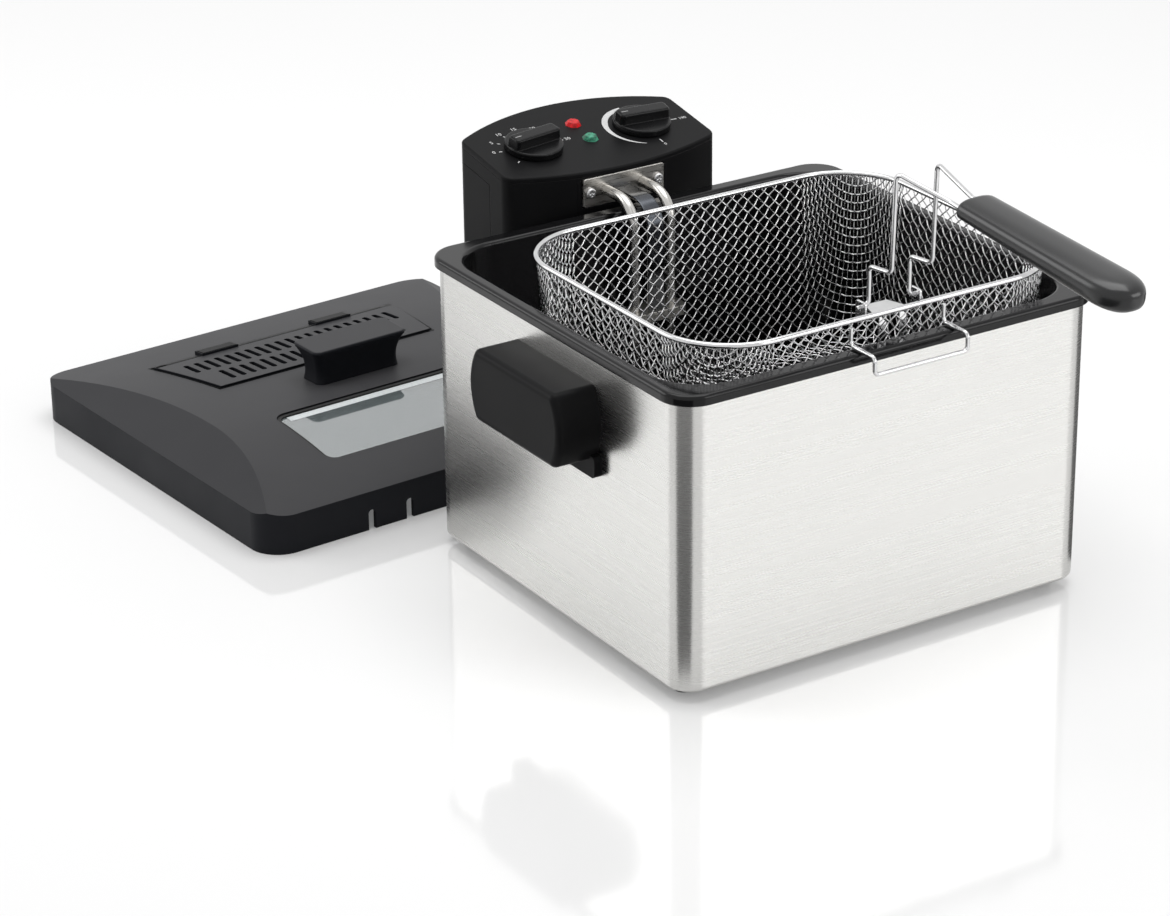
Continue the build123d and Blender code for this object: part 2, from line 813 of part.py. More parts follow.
def dial_knob(spot, pointer):
    """A round skirt with a grip bar across it, and a flat notch at the end that points."""
    with BuildPart() as knob:
        with BuildSketch(head_top.offset(knob_lift)):
            with Locations(spot):
                Circle(knob_radius)
        extrude(amount=knob_skirt)
        fillet(knob.edges().sort_by(Axis((0, 0, 0), head_top.z_dir))[-1], knob_edge_round)
        with BuildSketch(head_top.offset(knob_lift + knob_skirt - knob_bar_sink)):
            with Locations(spot):
                bar_length = 2 * (knob_radius - knob_bar_sink)
                RectangleRounded(bar_length, knob_bar_width, knob_bar_round, rotation=pointer)
        extrude(amount=knob_bar_height, taper=knob_bar_taper)
        fillet(knob.faces().sort_by(Axis((0, 0, 0), head_top.z_dir))[-1].edges(), knob_bar_edge)
        with BuildSketch(head_top.offset(knob_lift)):
            with Locations(spot):
                Circle(shaft_radius + thread_gap)
        extrude(amount=knob_skirt + knob_bar_height / 2 + thread_gap, mode=Mode.SUBTRACT)
    return knob


timer_body = dial_works(dial_spots["timer"], dial_body_height)
timer_body.part.label = "timer_body"
export_step(timer_body.part, "parts/timer_body.step")

thermostat_body = dial_works(dial_spots["thermostat"], dial_body_height)
thermostat_body.part.label = "thermostat_body"
export_step(thermostat_body.part, "parts/thermostat_body.step")

timer_shaft = dial_shaft(dial_spots["timer"])
timer_shaft.part.label = "timer_shaft"
export_step(timer_shaft.part, "parts/timer_shaft.step")

thermostat_shaft = dial_shaft(dial_spots["thermostat"])
thermostat_shaft.part.label = "thermostat_shaft"
export_step(thermostat_shaft.part, "parts/thermostat_shaft.step")

timer_knob = dial_knob(dial_spots["timer"], timer_pointer)
timer_knob.part.label = "timer_knob"
export_step(timer_knob.part, "parts/timer_knob.step")

thermostat_knob = dial_knob(dial_spots["thermostat"], thermostat_pointer)
thermostat_knob.part.label = "thermostat_knob"
export_step(thermostat_knob.part, "parts/thermostat_knob.step")


def lamp_lens(spot):
    """A faceted lamp lens: a round stem in the panel under a shallow cut crown."""
    with BuildPart() as lens:
        with BuildSketch(panel_seat):
            with Locations(spot):
                Circle(lamp_radius)
        extrude(amount=panel_thickness)
        with BuildSketch(head_top):
            with Locations(spot):
                RegularPolygon(lamp_radius + lamp_crown, lamp_facets)
        extrude(amount=lamp_rise, taper=lamp_crown_taper)
    return lens


power_lamp_lens = lamp_lens(lamp_spots[0])
power_lamp_lens.part.label = "power_lamp_lens"
export_step(power_lamp_lens.part, "parts/power_lamp_lens.step")

ready_lamp_lens = lamp_lens(lamp_spots[1])
ready_lamp_lens.part.label = "ready_lamp_lens"
export_step(ready_lamp_lens.part, "parts/ready_lamp_lens.step")

# Lamp holders: two sleeves under the panel behind the lenses
with BuildPart() as lamp_holders:
    with BuildSketch(panel_seat):
        with Locations(*lamp_spots):
            Circle(lamp_radius + lamp_holder_wall)
    extrude(amount=-lamp_holder_length)
lamp_holders.part.label = "lamp_holders"
export_step(lamp_holders.part, "parts/lamp_holders.step")

# Terminal block: joins the inlet, the dials and the element's ends, on the head's floor
head_floor = head_bottom + head_wall
terminal_y = cover_split - terminal_setback
with BuildPart() as terminal_block:
    with BuildSketch(Plane.XY.offset(head_floor)):
        with Locations((0, terminal_y)):
            Rectangle(terminal_size[0], terminal_size[1])
    extrude(amount=terminal_size[2])
    with BuildSketch(Plane.XY.offset(head_floor + terminal_size[2])):
        with Locations((0, terminal_y)):
            with GridLocations(terminal_pitch, 0, 4, 1):
                Circle(terminal_bore[0])
    extrude(amount=-terminal_bore[1], mode=Mode.SUBTRACT)
terminal_block.part.label = "terminal_block"
export_step(terminal_block.part, "parts/terminal_block.step")

# Safety switch: stops the heater when the head is off its guide
switch_y = cover_split - switch_setback
with BuildPart() as safety_switch:
    with BuildSketch(Plane.XY.offset(head_floor)):
        with Locations((switch_x, switch_y)):
            Rectangle(switch_size[0], switch_size[1])
    extrude(amount=switch_size[2])
    with BuildSketch(Plane.XY.offset(head_floor + switch_size[2])):
        with Locations((switch_x + switch_tip_shift, switch_y)):
            Rectangle(switch_tip[0], switch_tip[1])
    extrude(amount=switch_tip[2])
safety_switch.part.label = "safety_switch"
export_step(safety_switch.part, "parts/safety_switch.step")

# Inlet socket: the recessed power inlet, open to the back
with BuildPart() as inlet_socket:
    with BuildSketch(inlet_plane):
        RectangleRounded(*inlet_size, inlet_corner)
    extrude(amount=-inlet_depth)
    with BuildSketch(inlet_plane):
        mouth_width = inlet_size[0] - 2 * inlet_wall
        mouth_height = inlet_size[1] - 2 * inlet_wall
        RectangleRounded(mouth_width, mouth_height, inlet_corner - inlet_wall / 2)
    extrude(amount=-inlet_depth + inlet_wall, mode=Mode.SUBTRACT)
    with BuildSketch(inlet_plane.offset(-inlet_depth)):
        with GridLocations(pin_spacing, 0, 2, 1):
            Circle(pin_radius + thread_gap)
    extrude(amount=inlet_depth, mode=Mode.SUBTRACT)
inlet_socket.part.label = "inlet_socket"
export_step(inlet_socket.part, "parts/inlet_socket.step")

# Inlet pins: two contacts that stand in the socket
with BuildPart() as inlet_pins:
    with BuildSketch(inlet_plane.offset(-inlet_depth - pin_tail)):
        with GridLocations(pin_spacing, 0, 2, 1):
            Circle(pin_radius)
    extrude(amount=pin_length)
inlet_pins.part.label = "inlet_pins"
export_step(inlet_pins.part, "parts/inlet_pins.step")

# Reset button: a small recessed push button above the inlet
with BuildPart() as reset_button:
    with BuildSketch(reset_plane.offset(-reset_sink)):
        Circle(reset_radius)
    extrude(amount=-reset_stem)
    with BuildSketch(reset_plane.offset(-reset_sink - reset_stem)):
        Circle(reset_radius + reset_flange)
    extrude(amount=-reset_flange_height)
reset_button.part.label = "reset_button"
export_step(reset_button.part, "parts/reset_button.step")

# Head screws: hold the back cover to the bosses of the head shell
with BuildPart() as head_screws:
    for across in (-cover_boss_x, cover_boss_x):
        head_plane = Plane((across, cover_screw_seat, boss_z), z_dir=(0, 1, 0))
        add(pan_screw(head_plane, cover_screw_length))
head_screws.part.label = "head_screws"
export_step(head_screws.part, "parts/head_screws.step")

# Basket mesh: the basket's tapered wire cloth, as a thin open-topped shell
mesh_top = basket_rim_level - rim_wire_radius - thread_gap
mesh_mouth = Plane((basket_middle_x, basket_middle_y, mesh_top), x_dir=(1, 0, 0), z_dir=(0, 0, -1))


def basket_form(inset):
    """The basket's filled form, inset from its outside: it narrows downwards to a rounded floor."""
    with BuildPart() as form:
        with BuildSketch(mesh_mouth):
            RectangleRounded(basket_width - 2 * inset, basket_depth - 2 * inset, basket_corner - inset)
        extrude(amount=mesh_top - basket_floor - inset, taper=basket_draft)
        fillet(form.faces().sort_by(Axis.Z)[0].edges(), basket_floor_round - inset)
    return form.part


with BuildPart() as basket_mesh:
    add(basket_form(0))
    add(basket_form(mesh_thickness), mode=Mode.SUBTRACT)
basket_mesh.part.label = "basket_mesh"
export_step(basket_mesh.part, "parts/basket_mesh.step")

# Basket rim wire: the thick wire that the cloth is rolled around
with BuildPart() as basket_rim_wire:
    left = basket_middle_x - basket_width / 2
    right = basket_middle_x + basket_width / 2
    back = basket_middle_y + basket_depth / 2
    with BuildLine() as rim_route:
        FilletPolyline(
            (left, basket_front, basket_rim_level),
            (right, basket_front, basket_rim_level),
            (right, back, basket_rim_level),
            (left, back, basket_rim_level),
            radius=basket_corner,
            close=True,
        )
    with BuildSketch(Plane(rim_route.line @ 0, z_dir=rim_route.line % 0)):
        Circle(rim_wire_radius)
    sweep(path=rim_route.line)
basket_rim_wire.part.label = "basket_rim_wire"
export_step(basket_rim_wire.part, "parts/basket_rim_wire.step")

# Basket hook: a wire loop on the front that hangs over the pot's rim for draining
hook_level = rim_top + hook_wire_radius + fit_gap
hook_root_y = basket_front - hook_wire_radius - fit_gap
hook_front_y = -rim_depth / 2 - hook_reach
hook_left = basket_middle_x - hook_width / 2
hook_right = basket_middle_x + hook_width / 2
hook_side = [
    (hook_root_y, mesh_top - rim_wire_radius),
    (hook_root_y, hook_level),
    (hook_front_y, hook_level),
    (hook_front_y, hook_level - hook_drop),
]
with BuildPart() as basket_hook:
    hook_points = [(hook_left, y, z) for y, z in hook_side]
    hook_points += [(hook_right, y, z) for y, z in reversed(hook_side)]
    add(round_bar(hook_points, hook_bend, hook_wire_radius))
basket_hook.part.label = "basket_hook"
export_step(basket_hook.part, "parts/basket_hook.step")

# Handle bracket: a folded sheet inside the front wall, with two ears that hold the handle's ends
pivot_y = basket_front + handle_pivot_inset
wire_x = handle_wire_spacing / 2
ear_inner = wire_x + handle_wire_bend + fit_gap
shelf_top = basket_rim_level - rim_wire_radius - fit_gap
shelf_back = basket_front + mesh_thickness + 2 * fit_gap
with BuildPart() as handle_bracket:
    with BuildSketch(Plane((basket_middle_x, shelf_back, shelf_top - bracket_sheet))):
        with BuildLine():
            front_half = ear_inner + bracket_sheet
            back_half = wire_x - handle_wire_radius - 2 * fit_gap
            wide_depth = pivot_y - handle_wire_radius - 1 - shelf_back
            depth = handle_pivot_inset + bracket_depth
            Polyline(
                (-front_half, 0),
                (front_half, 0),
                (front_half, wide_depth),
                (back_half, wide_depth),
                (back_half - bracket_flare / 2, depth),
                (-back_half + bracket_flare / 2, depth),
                (-back_half, wide_depth),
                (-front_half, wide_depth),
                close=True,
            )
        make_face()
    extrude(amount=bracket_sheet)
    with BuildSketch(Plane((basket_middle_x, shelf_back + bracket_leg_inset, shelf_top))):
        with GridLocations(wire_x, 0, 2, 1):
            Rectangle(bracket_leg_width, bracket_sheet)
    extrude(amount=-bracket_leg)
    for side in (-1, 1):
        ear_spot = (basket_middle_x + side * ear_inner, pivot_y, handle_pivot_level)
        with BuildSketch(Plane(ear_spot, x_dir=(0, side, 0), z_dir=(side, 0, 0))):
            with Locations((0, -ear_drop)):
                ear_height = 2 * (handle_pivot_level - shelf_top) + bracket_sheet
                RectangleRounded(ear_width, ear_height, ear_round)
            Circle(handle_wire_radius + shaft_gap, mode=Mode.SUBTRACT)
        extrude(amount=bracket_sheet)
handle_bracket.part.label = "handle_bracket"
export_step(handle_bracket.part, "parts/handle_bracket.step")

# Basket grip: a long rounded handle bar, tilted down towards its tip
grip_back_y = pivot_y - handle_step - handle_lean - handle_lead
grip_plane = Plane(
    (basket_middle_x, grip_back_y, basket_grip_level),
    x_dir=(1, 0, 0),
    z_dir=(0, -sin(radians(basket_grip_tilt)), cos(radians(basket_grip_tilt))),
)
with BuildPart() as handle_grip:
    with BuildSketch(grip_plane) as grip_outline:
        with Locations((0, -basket_grip_length / 2)):
            Rectangle(basket_grip_width, basket_grip_length)
        fillet(grip_outline.vertices().sort_by(Axis.Y)[:2], basket_grip_width / 2 - grip_tip_trim)
        fillet(grip_outline.vertices().sort_by(Axis.Y)[-2:], grip_end_round)
    extrude(amount=basket_grip_thickness / 2, both=True)
    grip_faces = handle_grip.faces().sort_by(Axis((0, 0, 0), grip_plane.z_dir))
    fillet(grip_faces[-1].edges() + grip_faces[0].edges(), grip_end_round)
    with BuildSketch(Plane(grip_plane.origin, x_dir=(1, 0, 0), z_dir=-grip_plane.y_dir)):
        with GridLocations(grip_wire_spacing, 0, 2, 1):
            Circle(handle_wire_radius + thread_gap)
    extrude(amount=basket_grip_socket + 1, mode=Mode.SUBTRACT)
handle_grip.part.label = "handle_grip"
export_step(handle_grip.part, "parts/handle_grip.step")

# Handle wires: two bent wires from the bracket's ears up and over into the grip
with BuildPart() as handle_wires:
    for side in (-1, 1):
        low_x = basket_middle_x + side * wire_x
        knee_z = handle_pivot_level + handle_knee
        top_z = knee_z + handle_lean + handle_rise
        grip_x = side * grip_wire_spacing / 2
        socket = grip_plane.from_local_coords((grip_x, -basket_grip_socket, 0))
        mouth = grip_plane.from_local_coords((grip_x, grip_wire_lead, 0))
        wire_points = [
            (low_x + side * pivot_stub, pivot_y, handle_pivot_level),
            (low_x, pivot_y, handle_pivot_level),
            (low_x, pivot_y, knee_z),
            (low_x, pivot_y - handle_step, knee_z + handle_lean),
            (low_x, pivot_y - handle_step - handle_lean, top_z),
            mouth,
            socket,
        ]
        add(round_bar(wire_points, handle_wire_bend, handle_wire_radius))
handle_wires.part.label = "handle_wires"
export_step(handle_wires.part, "parts/handle_wires.step")

# Planes of the lid: its resting plane, a plane along its middle and one across it
lid_across = Vector(cos(radians(lid_turn)), sin(radians(lid_turn)), 0)
lid_floor = Plane((lid_x, lid_y, 0), x_dir=lid_across, z_dir=(0, 0, 1))
lid_middle = Plane(lid_floor.origin, x_dir=lid_floor.y_dir, z_dir=lid_floor.x_dir)
lid_face = Plane(lid_floor.origin, x_dir=lid_floor.x_dir, z_dir=-lid_floor.y_dir)


def arch_drop(run, drop, beyond):
    """How far an arch that falls by a drop over its run lies below its crest a little beyond it."""
    radius = (run**2 + drop**2) / (2 * drop)
    return radius - sqrt(radius**2 - (run + beyond) ** 2)


def lid_form(inset):
    """The lid's filled form, inset from its outside: a skirt under a low arch with sloping ends."""
    half = lid_width / 2 - inset
    reach = lid_depth / 2 - inset
    base = lid_skirt - inset
    crest = lid_crest - inset
    drop = crest - base
    back_end = reach + lid_wall
    back_run = reach - lid_crest_y
    front_run = reach + lid_crest_y
    back_z = crest - arch_drop(back_run, drop, lid_wall)
    front_z = crest - arch_drop(front_run, drop, lid_wall)
    side_end = half + lid_wall
    side_z = base - lid_wall * drop / lid_side_run
    with BuildPart() as form:
        with BuildSketch(lid_middle):
            with BuildLine():
                TangentArc((lid_crest_y, crest), (back_end, back_z), tangent=(1, 0))
                Line((back_end, back_z), (back_end, 0))
                Line((back_end, 0), (-back_end, 0))
                Line((-back_end, 0), (-back_end, front_z))
                TangentArc((lid_crest_y, crest), (-back_end, front_z), tangent=(-1, 0))
            make_face()
        extrude(amount=lid_width, both=True)
        with BuildSketch(lid_face):
            with BuildLine():
                Polyline(
                    (-side_end, 0),
                    (side_end, 0),
                    (side_end, side_z),
                    (half - lid_side_run, crest),
                    (half - lid_side_run, 2 * crest),
                    (-half + lid_side_run, 2 * crest),
                    (-half + lid_side_run, crest),
                    (-side_end, side_z),
                    close=True,
                )
            make_face()
        extrude(amount=lid_depth, both=True, mode=Mode.INTERSECT)
        with BuildSketch(lid_floor):
            RectangleRounded(2 * half, 2 * reach, lid_corner - inset)
        extrude(amount=2 * lid_crest, mode=Mode.INTERSECT)
    return form.part


def cover_plan(margin):
    """The filter cover's trapezoid on the lid's plane, grown by a margin."""
    with BuildSketch() as plan:
        with BuildLine():
            Polyline(
                (-cover_front_width / 2 - margin, cover_back_y - cover_length - margin),
                (cover_front_width / 2 + margin, cover_back_y - cover_length - margin),
                (cover_back_width / 2 + margin, cover_back_y + margin),
                (-cover_back_width / 2 - margin, cover_back_y + margin),
                close=True,
            )
        make_face()
    return plan.sketch


def lid_layer(top_inset, bottom_inset, outline):
    """A sheet that follows the lid's arch between two insets, inside an outline on its plane."""
    with BuildPart() as layer:
        with BuildSketch(lid_floor):
            add(outline)
        extrude(amount=2 * lid_crest)
        add(lid_form(top_inset), mode=Mode.INTERSECT)
        add(lid_form(bottom_inset), mode=Mode.SUBTRACT)
    return layer.part


def window_plan(margin):
    """The window's rounded rectangle on the lid's plane, grown by a margin."""
    with BuildSketch() as plan:
        with Locations((0, window_y)):
            width = window_size[0] + 2 * margin
            length = window_size[1] + 2 * margin
            RectangleRounded(width, length, window_corner + margin)
    return plan.sketch


# Lid shell: the moulded lid, with its window, its filter opening and notches for the handle's wires
with BuildPart() as lid_shell:
    add(lid_form(0))
    add(lid_form(lid_wall), mode=Mode.SUBTRACT)
    with BuildSketch(lid_floor):
        add(window_plan(0))
        add(cover_plan(cover_gap))
    extrude(amount=2 * lid_crest, mode=Mode.SUBTRACT)
    with BuildSketch(lid_face.offset(lid_depth / 2 - 2 * lid_wall)):
        with Locations(*[(pair, 0) for pair in notch_pairs]):
            with GridLocations(notch_spacing, 0, 2, 1):
                SlotOverall(2 * notch_height, notch_width, rotation=90)
    extrude(amount=4 * lid_wall, mode=Mode.SUBTRACT)
    with BuildSketch(lid_floor):
        with Locations((0, lid_handle_y)):
            with GridLocations(lid_handle_screw_spacing, 0, 2, 1):
                Circle(screw_radius + fit_gap)
    extrude(amount=2 * lid_crest, mode=Mode.SUBTRACT)
lid_shell.part.label = "lid_shell"
export_step(lid_shell.part, "parts/lid_shell.step")

# Window gasket: a thin frame between the lid and its glass
with BuildPart() as window_gasket:
    add(lid_layer(window_recess / 2, window_recess + glass_thickness, window_plan(-thread_gap)))
    with BuildSketch(lid_floor):
        add(window_plan(-gasket_width))
    extrude(amount=2 * lid_crest, mode=Mode.SUBTRACT)
window_gasket.part.label = "window_gasket"
export_step(window_gasket.part, "parts/window_gasket.step")

# Lid window: curved glass inside the gasket
with BuildPart() as lid_window:
    glass_plan = window_plan(-gasket_width - thread_gap)
    add(lid_layer(window_recess, window_recess + glass_thickness, glass_plan))
lid_window.part.label = "lid_window"
export_step(lid_window.part, "parts/lid_window.step")

# Filter tray: a slotted sheet under the opening
with BuildPart() as filter_tray:
    add(lid_layer(lid_wall, lid_wall + tray_thickness, cover_plan(tray_margin)))
    with BuildSketch(lid_floor):
        with Locations((0, cover_back_y - cover_length / 2)):
            with GridLocations(*tray_slot_pitch, *tray_slot_count):
                SlotOverall(*tray_slot, rotation=90)
    extrude(amount=2 * lid_crest, mode=Mode.SUBTRACT)
filter_tray.part.label = "filter_tray"
export_step(filter_tray.part, "parts/filter_tray.step")

# Filter mat: a thin fibre sheet on the tray, under the cover
mat_top = cover_thickness - cover_rise + thread_gap
with BuildPart() as filter_mat:
    add(lid_layer(mat_top + fit_gap, lid_wall, cover_plan(-mat_margin)))
filter_mat.part.label = "filter_mat"
export_step(filter_mat.part, "parts/filter_mat.step")

# Filter cover: a raised slotted trapezoid, hinged on two tabs along its back edge
with BuildPart() as filter_cover:
    add(lid_layer(-cover_rise, cover_thickness - cover_rise, cover_plan(0)))
    with BuildSketch(lid_floor):
        for row_y, row_count in slot_rows:
            with Locations((0, row_y)):
                with GridLocations(slot_pitch, 0, row_count, 1):
                    SlotOverall(slot_length, slot_width, rotation=90)
    extrude(amount=2 * lid_crest, mode=Mode.SUBTRACT)
    with BuildSketch() as tab_plan:
        with Locations((0, cover_back_y + (tab_length - tab_lap) / 2)):
            with GridLocations(tab_spacing, 0, 2, 1):
                Rectangle(tab_width, tab_length + tab_lap)
    add(lid_layer(-cover_rise - tab_thickness, -fit_gap, tab_plan.sketch))
filter_cover.part.label = "filter_cover"
export_step(filter_cover.part, "parts/filter_cover.step")

# Lid handle: a flared block that widens to its top
with BuildPart() as lid_handle:
    handle_foot_z = lid_crest - lid_handle_sink
    handle_top_z = lid_crest + lid_handle_height
    for level, size in (
        (handle_foot_z, lid_handle_foot),
        (handle_foot_z + lid_handle_waist_at * lid_handle_height, lid_handle_waist),
        (handle_top_z, lid_handle_top),
    ):
        with BuildSketch(lid_floor.offset(level)):
            with Locations((0, lid_handle_y)):
                RectangleRounded(*size, lid_handle_corner)
    loft()
    fillet(lid_handle.faces().sort_by(Axis.Z)[-1].edges(), lid_handle_round)
    add(lid_form(0), mode=Mode.SUBTRACT)
    with BuildSketch(lid_floor):
        with Locations((0, lid_handle_y)):
            with GridLocations(lid_handle_screw_spacing, 0, 2, 1):
                Circle(screw_radius + thread_gap)
    extrude(amount=lid_crest + lid_screw_length, mode=Mode.SUBTRACT)
lid_handle.part.label = "lid_handle"
export_step(lid_handle.part, "parts/lid_handle.step")

# Lid handle screws: from under the lid up into the handle
with BuildPart() as lid_handle_screws:
    for across in (-lid_handle_screw_spacing / 2, lid_handle_screw_spacing / 2):
        spot = lid_floor.from_local_coords((across, lid_handle_y, lid_crest - lid_wall - lid_screw_drop))
        add(pan_screw(Plane(spot, z_dir=(0, 0, -1)), lid_screw_length))
lid_handle_screws.part.label = "lid_handle_screws"
export_step(lid_handle_screws.part, "parts/lid_handle_screws.step")
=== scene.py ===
"""Looks of the countertop deep fryer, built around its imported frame.

Lengths of the camera, the studio, the finishes and mark_sheet are in metres, those of pieces in millimetres.
"""

import json
from math import cos, pi, radians, sin

import bpy
import numpy as np
from mathutils import Matrix, Vector


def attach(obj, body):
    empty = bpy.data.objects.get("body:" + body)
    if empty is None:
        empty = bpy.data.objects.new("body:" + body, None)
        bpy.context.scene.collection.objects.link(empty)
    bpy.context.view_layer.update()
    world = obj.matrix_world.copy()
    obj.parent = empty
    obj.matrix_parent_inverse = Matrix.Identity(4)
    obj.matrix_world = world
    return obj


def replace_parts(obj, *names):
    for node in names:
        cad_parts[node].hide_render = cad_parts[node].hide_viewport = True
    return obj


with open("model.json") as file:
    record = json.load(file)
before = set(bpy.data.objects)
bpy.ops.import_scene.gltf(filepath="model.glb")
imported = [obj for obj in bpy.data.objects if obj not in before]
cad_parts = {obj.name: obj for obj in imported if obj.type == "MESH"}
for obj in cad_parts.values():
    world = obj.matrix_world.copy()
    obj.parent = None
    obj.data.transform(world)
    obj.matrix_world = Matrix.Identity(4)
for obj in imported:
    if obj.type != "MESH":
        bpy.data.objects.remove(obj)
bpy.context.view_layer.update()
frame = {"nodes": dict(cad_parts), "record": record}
MM = 0.001

# Camera at the photograph's viewing angle
camera_spot = Vector((-1.1428, -1.6295, 0.9529))
camera_forward = Vector((0.4864, 0.7732, -0.4067)).normalized()
camera_roll = radians(-0.664)
camera_lens = 114.54

# Rounding of edges in the shading of grained finishes
edge_round = 0.0008
edge_samples = 6

# Finishes: waves per metre of their noises, and the heights of their reliefs
flow_waves = 14.0
glass_waves = 24.0
haze_waves = 60.0
lens_waves = 420.0
drawing_waves = 900.0
ink_waves = 900.0
streak_height = 0.00004
drawing_height = 0.00005
grain_height = 0.0001

# Studio: the light that the world gives, and how far the floor is lifted to white for the camera
world_light = 0.45
floor_lift = 0.12
floor_reach = 12.0

# Flags on the floor: sectors round two corners of the housing
flag_near = 0.03
flag_far = 0.75
flag_lift = 0.0004
near_corner = (-0.14, -0.132)
right_corner = (0.14, -0.132)

# Control head: its tilted top and the two dials
head_origin = np.array((0, 153, 209)) * MM
head_tilt = radians(9.8)
head_right = np.array((1.0, 0.0, 0.0))
head_back = np.array((0.0, cos(head_tilt), sin(head_tilt)))
head_up = np.array((0.0, -sin(head_tilt), cos(head_tilt)))
timer_spot = (-38.7, 27)
thermostat_spot = (38.7, 27)
mark_lift = 0.06
mark_sheet = 0.00012
tick_width = 0.7

# Timer scale: even minutes from its first angle to its last, and the mark below them
timer_minutes = ("0", "5", "10", "15", "20", "25", "30")
timer_first_angle = 170
timer_last_angle = 5
timer_stay_angle = 214
timer_figure = 4.2
timer_figure_radius = 25.5
timer_tick = (20.2, 22.2)

# Thermostat scale: a band that widens from its first angle, ticks beyond it and two figures
heat_first_angle = 245
heat_last_angle = 92
heat_steps = 60
heat_radius = 24.4
heat_thin = 0.4
heat_growth = 3.3
heat_widening = 90
heat_tick = (20.6, 24.4)
heat_tick_angles = (78, 50, 22, -5, -90)
heat_figure = 3.6
heat_figures = (("190", -5, 28.6), ("0", -90, 27.2))

# Pointer lines on the knobs' bars
pointer_inner = 10.5
pointer_outer = 15.0
pointer_half_width = 0.45
pointer_lift = 11.16
timer_pointer_angle = 188
thermostat_pointer_angle = 176

# Basket grip: its back end, its tilt and its size
grip_back = np.array((7.0, -185.5, 278.0))
grip_tilt = radians(4.5)
grip_length = 134.0
grip_half_width = 15.0
grip_half_thickness = 8.5
grip_tip_run = 24.0
grip_root_run = 5.0
grip_root_width = 0.86
grip_root_above = 0.80
grip_root_below = 0.55
grip_squareness = 0.72
grip_root_power = 2.6
grip_width_power = 2.2
grip_depth_power = 3.2

# Guard strip: its level run from the face plate, its bend and its foot
guard_start_y = 139.6
guard_drop_y = 105.0
guard_level = 193.0
guard_foot = 126.0
guard_bend = 17.0
guard_half_width = 5.5
guard_half_sheet = 0.5
guard_squareness = 0.15

# Lid: its place, its turn and the arch of its top
lid_spot = np.array((-101.0, 309.0))
lid_turn = radians(3.75)
lid_crest = 40.0
lid_crest_y = -25.0
lid_arch_drop = 15.0
lid_front_run = 115.0
lid_back_run = 165.0

# Window's pale strip of painted reflection, and the filter cover with its tabs, its back line and the seam
# round it, painted dark as shade
window_drop = 2.2
window_reflection_y = -41.8
window_reflection_size = (142, 6.0)
window_reflection_lift = 0.12
cover_rise = 1.2
cover_half_back = 91.0
cover_half_front = 79.5
cover_back_y = 90.0
cover_front_y = 25.0
cover_line_y = 88.2
cover_line_size = (180.4, 2.8)
tab_rise = 2.8
tab_spot = (43.5, 91)
tab_size = (26.4, 9.4)
seam_inner = 0.85
seam_outer = 2.1
seam_behind = 4.4

# Basket cloth: its floor, its rounded foot and its leaning walls
cloth_middle = np.array((7.0, -21.0))
cloth_floor = 95.6
cloth_floor_half = np.array((103.9, 80.4))
cloth_floor_corner = 23.0
cloth_foot_round = 16.0
cloth_lean = radians(3)
cloth_reach = 113.2
cloth_pitch = 7.6
cloth_wire = 0.46
cloth_wave = 0.46
cloth_steps = 4
cloth_sides = 4


def new_piece(name, points, faces, body, material, smooth=True, sheet=0.0):
    """A mesh piece at the origin from an array of points and an array of faces, carried by a body.

    A sheet thickness above zero closes an open surface downwards, from its face to its back.
    """
    mesh = bpy.data.meshes.new(name)
    mesh.from_pydata(np.asarray(points).tolist(), [], [list(face) for face in faces])
    mesh.polygons.foreach_set("use_smooth", np.full(len(mesh.polygons), smooth))
    mesh.materials.append(material)
    mesh.update()
    piece = bpy.data.objects.new(name, mesh)
    bpy.context.scene.collection.objects.link(piece)
    if sheet:
        wall = piece.modifiers.new("sheet", "SOLIDIFY")
        wall.thickness = sheet
        wall.offset = -1
    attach(piece, body)
    return piece


